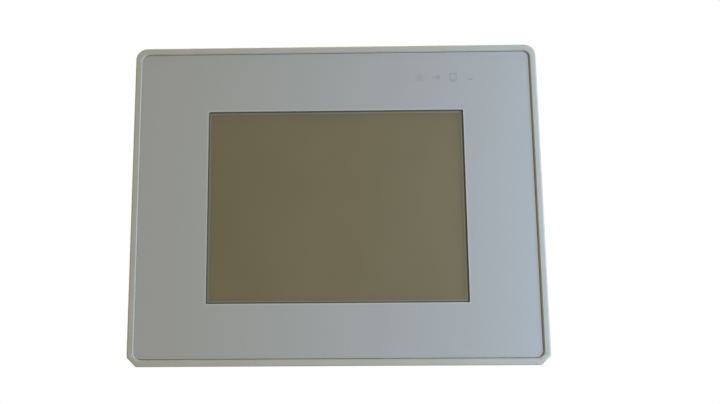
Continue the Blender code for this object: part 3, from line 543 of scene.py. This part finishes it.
# Widths of the small rounds in millimetres
SOFTENED = {
    "processor": 0.25, "inverter_board": 0.15, "card_socket": 0.3, "option_switches": 0.2,
    "reset_switch": 0.3, "reset_button": 0.2, "backup_battery": 0.15, "lcd_frame": 0.2,
    "option_slider_1": 0.15, "option_slider_2": 0.15, "option_slider_3": 0.15,
    "option_slider_4": 0.15, "memory_card": 0.4, "heat_sink": 0.1, "rating_plate": 0.1,
    "lcd_backlight": 0.3, "lcd_glass": 0.2, "battery_holder": 0.3,
}


def soften_cad_edges():
    """Small rounds on the edges of the nodes that would otherwise look like bare boxes."""
    for name, width in SOFTENED.items():
        modifier = frame["nodes"][name].modifiers.new("rounds", "BEVEL")
        modifier.width = width * mm
        modifier.segments = 2
        modifier.limit_method = "ANGLE"
        modifier.angle_limit = math.radians(40)


# ---------------------------------------------------------------- front


def rounded_edge(radius, steps):
    """Angles and offsets of a quarter round: (inwards, back from the crest)."""
    angles = [math.radians(90 * i / steps) for i in range(steps + 1)]
    return [(radius * (1 - math.cos(a)), radius * (1 - math.sin(a))) for a in angles]


# Each side of the seal groove: width, height, corner radius, and where its two rings lie along Y
SEAL_GROOVE = (
    (178.6 * mm, 138.6 * mm, 3.3 * mm, (0, -1.6 * mm)),
    (185.0 * mm, 145.0 * mm, 6.5 * mm, (-1.6 * mm, 0)),
)
COVER_SCREWS = [f"cover_screw_{number}" for number in range(1, 5)]


def centre_of(node):
    low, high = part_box(node)
    return (low + high) / 2


def front_bezel():
    """Faceplate: a raised lip round a flat recess, a stepped window and a seal groove."""
    recess_w, recess_h = FACE_WIDTH - 2 * LIP_WIDTH, FACE_HEIGHT - 2 * LIP_WIDTH
    touch_w, touch_h = GLASS_HIGH.x - GLASS_LOW.x, GLASS_HIGH.z - GLASS_LOW.z
    pocket = (touch_w + 2 * SLACK, touch_h + 2 * SLACK, 1 * mm, WINDOW)
    through = (WINDOW_WIDTH + 2.4 * mm, WINDOW_HEIGHT + 2.4 * mm, 1 * mm, WINDOW)

    def outer(inset, y):
        return along("Y", face_outline(inset), y)

    def recess(out, y):
        size = (recess_w + 2 * out, recess_h + 2 * out, LIP_RADIUS + out)
        return along("Y", rounded_rect(*size), y)

    rings = [outer(0.4 * mm, 0), outer(0.12 * mm, -0.12 * mm), outer(0, -0.4 * mm)]
    rings += [outer(i, FACE_FRONT + back) for i, back in rounded_edge(LIP_ROUND, 8)]
    rings += [recess(LIP_SLOPE, FACE_FRONT), recess(LIP_SLOPE * 0.8, FACE_FRONT + 0.06 * mm)]
    rings += [recess(0, FILM_LOW.y + 0.1 * mm), recess(0, RECESS_FLOOR)]
    rings += [along("Y", rounded_rect(*pocket), y) for y in (RECESS_FLOOR, TOUCH_LEDGE)]
    rings += [along("Y", rounded_rect(*through), y) for y in (TOUCH_LEDGE, 0)]
    for w, h, r, ys in SEAL_GROOVE:
        rings += [along("Y", rounded_rect(w, h, r), y) for y in ys]
    bezel = place(
        "bezel_moulding", skin(rings, loop=True), "bezel",
        stands_for=["front_bezel"],
    )
    cut_front, cut_rear, light_radius, slot_low = -4 * mm, mm, 1.5 * mm, 46.5 * mm
    drill = [(cut_front, light_radius), (cut_rear, light_radius)]
    lights = [turned("Y", (x, 0, STATUS_Z), drill, SMALL_STEPS) for x in STATUS_X]
    flex_low, flex_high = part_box("touch_flex")
    slot_x, slot_high = (flex_low.x - mm, flex_high.x + mm), flex_high.z + 0.6 * mm
    tail = box(*slot_x, cut_front, cut_rear, slot_low, slot_high)
    cut(bezel, tail, *lights)


def bezel_bosses():
    """Screw bosses, and the two posts beside the status lights."""
    foot, boss_radius, bore_radius, post_radius = -0.2 * mm, 3.2 * mm, 1.5 * mm, 1.6 * mm
    shapes = []
    for name in COVER_SCREWS:
        c = centre_of(name)
        outside = circle(boss_radius, centre=(c.x, c.z))
        bore = circle(bore_radius, centre=(c.x, c.z))
        shapes.append(ring("Y", outside, bore, foot, BOSS_REAR))
    post = [(foot, post_radius), (3.2 * mm, post_radius), (3.4 * mm, 1.4 * mm)]
    for x in (STATUS_X[0] - POST_OFFSET, STATUS_X[-1] + POST_OFFSET):
        shapes.append(turned("Y", (x, 0, STATUS_Z), post))
    place("bezel_bosses", merged(*shapes), "bezel")


def overlay():
    """Printed film in the recess, with softly rounded edges and the window left open."""
    gap, edge = 0.22 * mm, 0.12 * mm
    film_w, film_h = FACE_WIDTH - 2 * (LIP_WIDTH + gap), FACE_HEIGHT - 2 * (LIP_WIDTH + gap)
    radius, centre = LIP_RADIUS - gap, (FILM_SHIFT, 0)
    front, rear = FILM_LOW.y, FILM_HIGH.y

    def outside(inset, y):
        size = (film_w - 2 * inset, film_h - 2 * inset, radius - inset, centre)
        return along("Y", rounded_rect(*size), y)

    def window(grow, y):
        size = (WINDOW_WIDTH + 2 * grow, WINDOW_HEIGHT + 2 * grow, WINDOW_RADIUS + grow, WINDOW)
        return along("Y", rounded_rect(*size), y)

    rings = [outside(0, rear), outside(0, front + edge), outside(edge * 0.3, front + edge * 0.3)]
    rings += [outside(edge, front), window(edge, front), window(edge * 0.3, front + edge * 0.3)]
    rings += [window(0, front + edge), window(0, rear)]
    place(
        "overlay_sheet", skin(rings, loop=True), "film",
        stands_for=["front_overlay"],
    )


def window_frame(grow, width):
    """Outer and inner outlines of a line round the window, from this far outside its edge."""
    made = []
    for out in (grow + width, grow):
        radius = max(WINDOW_RADIUS + out, 0.25 * mm)
        size = (WINDOW_WIDTH + 2 * out, WINDOW_HEIGHT + 2 * out, radius, WINDOW)
        made.append(rounded_rect(*size))
    return made


def painted_window_edges():
    """Painted highlight: a pale line round the window; painted shadow: three lines on the glass just
    inside its edge.
    """
    front = FILM_LOW.y
    # a pale line of painted highlight round the window
    light = ring("Y", *window_frame(0.13 * mm, 0.55 * mm), front - INK, front + INK)
    place("window_highlight", light, "film_highlight")
    pane = GLASS_LOW.y
    # three lines of painted shadow on the glass just inside the window's edge
    for name, start, width, ink in (
        ("painted_shadow_border", -0.5 * mm, 1.2 * mm, "pane_shadow_dark"),
        ("painted_shadow_band", -1.35 * mm, 0.85 * mm, "pane_shadow_band"),
        ("painted_shadow_line", -1.75 * mm, 0.4 * mm, "pane_shadow_line"),
    ):
        line = ring("Y", *window_frame(start, width), pane - INK, pane + INK)
        place(name, line, ink)


def status_symbols():
    """Four plain printed symbols over the status lights: sun, arrow, screen and dash."""
    front = FILM_LOW.y
    y0, y1 = front - INK, front + INK

    def bar(x, z, width, height, angle=0.0):
        """A bar with its middle at (x, z), turned by the angle in degrees."""
        spin = Matrix.Rotation(math.radians(angle), 2)
        corners = ((-1, -1), (1, -1), (1, 1), (-1, 1))
        points = [spin @ Vector((a * width / 2, b * height / 2)) for a, b in corners]
        return prism("Y", [(x + p.x, z + p.y) for p in points], y0, y1)

    def hoop(x, z, radius, width, steps=ROUND_STEPS, start=0.0):
        outer = circle(radius, steps, (x, z), start)
        inner = circle(radius - width, steps, (x, z), start)
        return ring("Y", outer, inner, y0, y1)

    line = 0.5 * mm
    sun, arrow, screen, dash = STATUS_X
    z = STATUS_Z
    ray_at, ray_length, ray_width = 1.9 * mm, 0.8 * mm, 0.36 * mm
    shapes = [hoop(sun, z, 1.15 * mm, line)]
    for angle in range(0, 360, 45):
        a = math.radians(angle)
        middle = (sun + ray_at * math.cos(a), z + ray_at * math.sin(a))
        shapes.append(bar(*middle, ray_length, ray_width, angle))
    shapes.append(bar(arrow - 0.5 * mm, z, 3.0 * mm, line))
    for side in (1, -1):
        shapes.append(bar(arrow + 1.0 * mm, z + side * 0.6 * mm, 1.8 * mm, line, -45 * side))
    shapes.append(hoop(screen, z, 2.4 * mm, 0.62 * mm, 4, math.radians(45)))
    shapes.append(bar(screen, z - 2.2 * mm, 1.8 * mm, line))
    shapes.append(bar(dash, z - 1.2 * mm, 2.5 * mm, line, -12))
    place("status_symbols", merged(*shapes), "film_mark")


def seal():
    """Rubber seal with two lips, seated in the faceplate's rear groove."""
    low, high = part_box("panel_gasket")
    width, height, radius = high.x - low.x, high.z - low.z, 6.2 * mm
    across = 2.6 * mm

    def outline(inset, y):
        return along("Y", rounded_rect(width - 2 * inset, height - 2 * inset, radius - inset), y)

    section = [(0, low.y), (0, high.y - 0.45 * mm), (0.25 * mm, high.y - 0.1 * mm), (0.5 * mm, high.y)]
    section += [(0.85 * mm, high.y - 0.1 * mm), (1.3 * mm, high.y - 0.55 * mm)]
    section += [(across - i, y) for i, y in reversed(section[:5])]
    place(
        "door_seal", skin([outline(i, y) for i, y in section], loop=True), "rubber",
        stands_for=["panel_gasket"], crease=50,
    )


# ---------------------------------------------------------------- clamps


def threaded(axis_at, start, end, radius, pitch, depth):
    """Rings of a shank along Y, with a helical thread that fades at both ends."""
    rows_per_turn = 6
    count = int((end - start) / pitch * rows_per_turn)
    rings = []
    for row in range(count + 1):
        y = start + (end - start) * row / count
        ends = min(1.0, min(y - start, end - y) / pitch)
        points = []
        for i in range(SMALL_STEPS):
            phase = ((y - start) / pitch - i / SMALL_STEPS) % 1.0
            r = radius - depth * ends * abs(2 * phase - 1)
            a = 2 * math.pi * i / SMALL_STEPS
            points.append(Vector((axis_at.x + r * math.cos(a), y, axis_at.z + r * math.sin(a))))
        rings.append(points)
    return rings


def clamp_screw(number):
    """Threaded clamp screw with a slotted cheese head and a round tip that turns in the foot."""
    name = f"clamp_screw_{number}"
    low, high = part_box(name)
    centre = (low + high) / 2
    head_r, shank_r, tip_r = 3.5 * mm, 1.95 * mm, 1.35 * mm
    head_height, pitch, depth = 2.4 * mm, 0.7 * mm, 0.36 * mm
    slot_depth, slot_half = 1.3 * mm, 0.45 * mm
    head_y, neck = high.y - head_height, low.y + 1.7 * mm
    axis = (centre.x, 0, centre.z)

    def at(y, r):
        return along("Y", circle(r, SMALL_STEPS), y, axis)

    rings = [at(low.y, tip_r - 0.3 * mm), at(low.y + 0.3 * mm, tip_r), at(neck, tip_r)]
    rings += threaded(centre, neck + 0.1 * mm, head_y - 0.8 * mm, shank_r, pitch, depth)
    rings += [at(head_y, shank_r - 0.1 * mm), at(head_y, head_r - 0.2 * mm)]
    rings += [at(head_y + 0.2 * mm, head_r), at(head_y + 1.7 * mm, head_r)]
    rings += [at(head_y + 2.1 * mm, head_r - 0.25 * mm), at(head_y + head_height, head_r - 0.8 * mm)]
    screw = place(
        f"clamp_bolt_{number}", skin(rings), "screw", name, [name], crease=50
    )
    slot = box(
        centre.x - 4 * mm, centre.x + 4 * mm, high.y - slot_depth, high.y + mm,
        centre.z - slot_half, centre.z + slot_half,
    )
    cut(screw, slot)


# ---------------------------------------------------------------- ports

PORT_Y, PORT_REAR = 25.2 * mm, 31.4 * mm
WALL_INSIDE = BODY_LOW_Z + 2.5 * mm
SHELL_RIM, SHELL_WALL, SHELL_HEIGHT = -54 * mm, 0.45 * mm, 8.4 * mm
BLOCK_LOW, BLOCK_HIGH = -46.4 * mm, -36 * mm  # the port's housing above its flange
NUT_LOW, NUT_HIGH, NUT_RADIUS, NUT_BORE = -55.3 * mm, -50.3 * mm, 2.6 * mm, 1.2 * mm
POST_LOW, POST_RADIUS = -51.5 * mm, 1.19 * mm
PIN_PITCH, ROW_PITCH = 2.76 * mm, 2.84 * mm


def d_outline(width, height, centre, radius=2.2 * mm):
    """The D of a serial port: round corners and sides that lean in by ten degrees."""
    lean = height * math.tan(math.radians(10)) / 2
    points = []
    for u, v in rounded_rect(width, height, radius, steps=8):
        narrower = 1 - lean * 2 / width * v / (height / 2)
        points.append((centre[0] + u * narrower, centre[1] + v))
    return points


def serial_port(node, flange, shell, screws, rows, pins):
    """D shaped port: flange, hollow shell, insert with its contacts, and two jack posts."""
    low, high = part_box(node)
    x = (low.x + high.x) / 2
    at = (x, PORT_Y)
    inner_width, inner_height = shell - 2 * SHELL_WALL, SHELL_HEIGHT - 2 * SHELL_WALL
    outside = d_outline(shell, SHELL_HEIGHT, at)
    inside = d_outline(inner_width, inner_height, at, 1.75 * mm)
    left, right = x - flange / 2, x + flange / 2
    half = shell / 2 + mm
    metal = [
        box(left, right, low.y, PORT_REAR, WALL_INSIDE, WALL_INSIDE + mm, 0.2 * mm),
        ring("Z", outside, inside, SHELL_RIM, WALL_INSIDE),
        box(x - half, x + half, low.y, PORT_REAR, BLOCK_LOW, BLOCK_HIGH, 0.3 * mm),
    ]
    place(f"{node}_shell", merged(*metal), "shell", ROOT, [node])

    posts = []
    for side in (-1, 1):
        px = x + side * screws / 2
        hexagon = circle(NUT_RADIUS, 6, (px, PORT_Y), math.radians(30))
        bored = circle(NUT_BORE, 6, (px, PORT_Y), math.radians(30))
        posts.append(ring("Z", hexagon, bored, NUT_LOW, NUT_HIGH))
        post = [(POST_LOW, POST_RADIUS), (WALL_INSIDE, POST_RADIUS)]
        posts.append(turned("Z", (px, PORT_Y, 0), post, SMALL_STEPS))
    place(f"{node}_jack_posts", merged(*posts), "screw")

    insert_z = SHELL_RIM + (1.0 * mm if pins == "female" else 4.6 * mm)
    insert = d_outline(inner_width - 0.3 * mm, 7.1 * mm, at, 1.6 * mm)
    place(f"{node}_insert", prism("Z", insert, insert_z, WALL_INSIDE + mm), "black")
    contacts = []
    for row, count in enumerate(rows):
        v = PORT_Y + ((len(rows) - 1) / 2 - row) * ROW_PITCH
        for i in range(count):
            u = x + (i - (count - 1) / 2) * PIN_PITCH
            contacts.append(socket_at(u, v, insert_z) if pins == "female" else pin_at(u, v, insert_z))
    place(f"{node}_contacts", merged(*contacts), "gold")


def socket_at(u, v, insert_z):
    """A hollow contact, just proud of the insert."""
    outer, inner = circle(0.62 * mm, PIN_STEPS, (u, v)), circle(0.42 * mm, PIN_STEPS, (u, v))
    return ring("Z", outer, inner, insert_z - 0.12 * mm, insert_z + 2 * mm)


def pin_at(u, v, insert_z):
    """A pin with a tapered tip, standing out of the insert."""
    radius, tip_radius = 0.5 * mm, 0.25 * mm
    profile = [
        (SHELL_RIM + 0.7 * mm, tip_radius), (SHELL_RIM + mm, radius), (insert_z + mm, radius)
    ]
    return turned("Z", (u, v, 0), profile, PIN_STEPS)


def network_contacts():
    """Eight sprung contacts and two light windows in the network jack."""
    low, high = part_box("network_port")
    x = (low.x + high.x) / 2
    pitch, half, thick = 1.02 * mm, 0.22 * mm, 0.35 * mm
    # the two stretches of a contact: lower end, upper end and rear face
    stretches = ((-49.5 * mm, -44.5 * mm, 29.6 * mm), (-45.2 * mm, -40.0 * mm, 28.9 * mm))
    wires = []
    for i in range(8):
        u = x + (i - 3.5) * pitch
        for z0, z1, y in stretches:
            wires.append(box(u - half, u + half, y - thick, y, z0, z1))
    place("network_contacts", merged(*wires), "gold")
    lamp_at, lamp_half = 6.4 * mm, 1.0 * mm
    lamp_z = (low.z - 0.15 * mm, low.z + 0.6 * mm)
    lamps = []
    for side in (-1, 1):
        u = x + side * lamp_at
        lamps.append(box(u - lamp_half, u + lamp_half, 30.7 * mm, 31.9 * mm, *lamp_z, 0.2 * mm))
    place("network_lamps", merged(*lamps), "clear")


def usb_contacts():
    """Four flat contacts in the USB port."""
    low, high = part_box("usb_port")
    x = (low.x + high.x) / 2
    half = 0.5 * mm
    pads = []
    for offset in (-3.5 * mm, -1.0 * mm, 1.0 * mm, 3.5 * mm):
        u = x + offset
        pads.append(box(u - half, u + half, 24.85 * mm, 25.05 * mm, -49.8 * mm, -41 * mm))
    place("usb_contacts", merged(*pads), "gold")


# ---------------------------------------------------------------- rear


def raised_frame(x0, x1, z0, z1, width, y0, y1, radius):
    """A low raised border on the rear wall."""
    centre = ((x0 + x1) / 2, (z0 + z1) / 2)
    outer = rounded_rect(x1 - x0, z1 - z0, radius, centre, 6)
    inner = rounded_rect(x1 - x0 - 2 * width, z1 - z0 - 2 * width, radius - width / 2, centre, 6)
    return ring("Y", outer, inner, y0, y1)


def cover_details():
    """Raised borders round the vents and the rating plate."""
    base, crest = BODY_REAR - 0.4 * mm, BODY_REAR + 0.35 * mm
    vents_width, vents_low, vents_high, gap = 33 * mm, -16.6 * mm, 51 * mm, 1.6 * mm
    shapes = []
    for x in (0.5 * mm, 36.5 * mm):
        vents = (x, x + vents_width, vents_low, vents_high)
        shapes.append(raised_frame(*vents, 0.8 * mm, base, crest, 1.5 * mm))
    plate_x, plate_z = (PLATE_LOW.x - gap, PLATE_HIGH.x + gap), (PLATE_LOW.z - gap, PLATE_HIGH.z + gap)
    shapes.append(raised_frame(*plate_x, *plate_z, 0.7 * mm, base, crest, 1.2 * mm))
    place("cover_borders", merged(*shapes), "housing")


def plate_print():
    """Generic printed border and empty entry fields on the rating plate."""
    y0, y1 = PLATE_HIGH.y - INK, PLATE_HIGH.y + INK
    margin, half_line, lines, column = 1.2 * mm, 0.12 * mm, 4, 0.36
    left, right = PLATE_LOW.x + margin, PLATE_HIGH.x - margin
    low, high = PLATE_LOW.z + margin, PLATE_HIGH.z - margin
    shapes = [raised_frame(left, right, low, high, 0.4 * mm, y0, y1, 0.8 * mm)]
    for i in range(1, lines):
        z = low + (high - low) * i / lines
        shapes.append(box(left, right, y0, y1, z - half_line, z + half_line))
    middle = left + (right - left) * column
    shapes.append(box(middle - half_line, middle + half_line, y0, y1, low, high))
    place("plate_print", merged(*shapes), "label")


# ---------------------------------------------------------------- boards


def board_parts():
    """Small soldered parts on the service board."""
    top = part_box("service_board")[1].y
    first_x, step_x, first_z, step_z = -37 * mm, 2.4 * mm, 40.5 * mm, 2.3 * mm
    half, end_half, end_at = 0.5 * mm, 0.2 * mm, 0.65 * mm
    black, white, metal = [], [], []
    for row in range(2):
        for i in range(7):
            x, z = first_x + i * step_x, first_z + row * step_z
            across = (z - half, z + half)
            black.append(box(x - half, x + half, top, top + 0.5 * mm, *across, 0.08 * mm))
            for side in (-1, 1):
                u = x + side * end_at
                metal.append(box(u - end_half, u + end_half, top, top + 0.46 * mm, *across))
    for i in range(4):
        z = (21.5 + i * 2.2) * mm
        white.append(box(-38.2 * mm, -36.8 * mm, top, top + 0.6 * mm, z, z + 1.1 * mm, 0.1 * mm))
    place("service_resistors", merged(*black), "black")
    place("service_capacitors", merged(*white), "white")
    place("service_solder", merged(*metal), "shell")


def processor_leads():
    """Flat leads round the processor."""
    low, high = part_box("processor")
    y0, y1 = low.y - 0.1 * mm, low.y + 0.2 * mm
    count, half, reach = 22, 0.22 * mm, 1.4 * mm
    span_x, span_z = high.x - low.x, high.z - low.z
    shapes = []
    for i in range(count):
        t = (i + 1) / (count + 1)
        x, z = low.x + span_x * t, low.z + span_z * t
        for side, edge in ((-1, low.z), (1, high.z)):
            ends = sorted((edge, edge + side * reach))
            shapes.append(box(x - half, x + half, y0, y1, *ends))
        for side, edge in ((-1, low.x), (1, high.x)):
            ends = sorted((edge, edge + side * reach))
            shapes.append(box(*ends, y0, y1, z - half, z + half))
    place("processor_leads", merged(*shapes), "shell")


# ---------------------------------------------------------------- studio


def camera():
    """Looks up slightly at the faceplate from just below its middle."""
    data = bpy.data.cameras.new("camera")
    data.sensor_width, data.lens = 36, 40
    data.shift_x = 0.0556
    data.clip_start = 0.01
    made = bpy.data.objects.new("camera", data)
    made.location = (-1.2 * mm, -362.8 * mm, -60.2 * mm)
    made.rotation_euler = [math.radians(a) for a in (99.48, 0.34, 1.06)]
    bpy.context.scene.collection.objects.link(made)
    bpy.context.scene.camera = made


def softbox(name, place_at, aim, size, power, colour):
    """A rectangular area light that the camera doesn't see."""
    data = bpy.data.lights.new(name, "AREA")
    data.shape, data.size, data.size_y = "RECTANGLE", size[0], size[1]
    data.energy, data.color = power, colour
    light = bpy.data.objects.new(name, data)
    light.location = place_at
    light.rotation_euler = (Vector(aim) - Vector(place_at)).to_track_quat("-Z", "Y").to_euler()
    light.visible_camera = False
    bpy.context.scene.collection.objects.link(light)


AMBIENT_LEFT, AMBIENT_RIGHT = (0.366, 0.336, 0.253), (0.611, 0.561, 0.422)
AMBIENT_BEHIND = (0.5, 0.5, 0.5)


def studio():
    """Warm surroundings in front, darker to the left, neutral behind, and a white backdrop."""
    world = bpy.data.worlds.new("studio")
    world.use_nodes = True
    tree = world.node_tree
    backdrop = tree.nodes["Background"]
    backdrop.inputs["Color"].default_value = (1, 1, 1, 1)
    around = tree.nodes.new("ShaderNodeBackground")
    direction = tree.nodes.new("ShaderNodeTexCoord")
    split = tree.nodes.new("ShaderNodeSeparateXYZ")
    spread = tree.nodes.new("ShaderNodeMapRange")
    spread.inputs["From Min"].default_value = -1.0
    shade = tree.nodes.new("ShaderNodeValToRGB")
    shade.color_ramp.elements[0].color = (*AMBIENT_LEFT, 1)
    shade.color_ramp.elements[1].color = (*AMBIENT_RIGHT, 1)
    depth = tree.nodes.new("ShaderNodeMapRange")
    depth.inputs["To Min"].default_value, depth.inputs["From Max"].default_value = 0.0, 0.5
    behind = tree.nodes.new("ShaderNodeBackground")
    behind.inputs["Color"].default_value = (*AMBIENT_BEHIND, 1)
    ambient = tree.nodes.new("ShaderNodeMixShader")
    rays = tree.nodes.new("ShaderNodeLightPath")
    choice = tree.nodes.new("ShaderNodeMixShader")
    for output, socket in (
        (direction.outputs["Generated"], split.inputs["Vector"]),
        (split.outputs["X"], spread.inputs["Value"]),
        (spread.outputs["Result"], shade.inputs["Fac"]),
        (shade.outputs["Color"], around.inputs["Color"]),
        (split.outputs["Y"], depth.inputs["Value"]),
        (depth.outputs["Result"], ambient.inputs["Fac"]),
        (around.outputs["Background"], ambient.inputs[1]),
        (behind.outputs["Background"], ambient.inputs[2]),
        (rays.outputs["Is Camera Ray"], choice.inputs["Fac"]),
        (ambient.outputs["Shader"], choice.inputs[1]),
        (backdrop.outputs["Background"], choice.inputs[2]),
        (choice.outputs["Shader"], tree.nodes["World Output"].inputs["Surface"]),
    ):
        tree.links.new(output, socket)
    bpy.context.scene.world = world
    bpy.context.scene.view_settings.view_transform = "Standard"


def lights():
    """Bluish light from a window on the right, and two large lights above and behind."""
    softbox("window_light", (0.32, -0.18, -0.03), (0, 0, 0), (0.25, 0.6), 2.47, (0.396, 0.608, 1.0))
    softbox("top_light", (-0.1, 0.35, 1.1), (0, 0.02, 0), (1.4, 1.2), 12, (1.0, 0.99, 0.96))
    softbox("rear_light", (-0.7, 0.9, 0.35), (0, 0.03, 0), (1.8, 1.6), 13, (1.0, 0.99, 0.97))


FLOOR_TOP, FLOOR_THICK, FLOOR_RADIUS = -0.4, 0.01, 3


def floor():
    """Plain pale sheet far below the terminal, which it neither lights nor reflects in."""
    made = Recipe("studio_floor", roughness=0.85)
    made.colour(
        made.shades(made.noise(0.3, 2), (0.3, (0.25, 0.255, 0.27)), (0.7, (0.28, 0.285, 0.3)))
    )
    made.shader.inputs["Emission Color"].default_value = (1, 1, 1, 1)
    made.shader.inputs["Emission Strength"].default_value = 0.74
    disc = circle(FLOOR_RADIUS, 96)
    sheet = make_object("floor", prism("Z", disc, FLOOR_TOP - FLOOR_THICK, FLOOR_TOP))
    sheet.data.materials.append(made.material)
    sheet.visible_diffuse = False
    sheet.visible_glossy = False


camera()
studio()
lights()
floor()

finish_cad_nodes()
soften_cad_edges()
front_bezel()
bezel_bosses()
overlay()
painted_window_edges()
status_symbols()
seal()
for number in range(1, 5):
    clamp_screw(number)
serial_port("serial_port_15", 39.2 * mm, 25.0 * mm, 33.3 * mm, (8, 7), "female")
serial_port("serial_port_9", 30.8 * mm, 16.7 * mm, 25.0 * mm, (5, 4), "male")
network_contacts()
usb_contacts()
cover_details()
plate_print()
board_parts()
processor_leads()
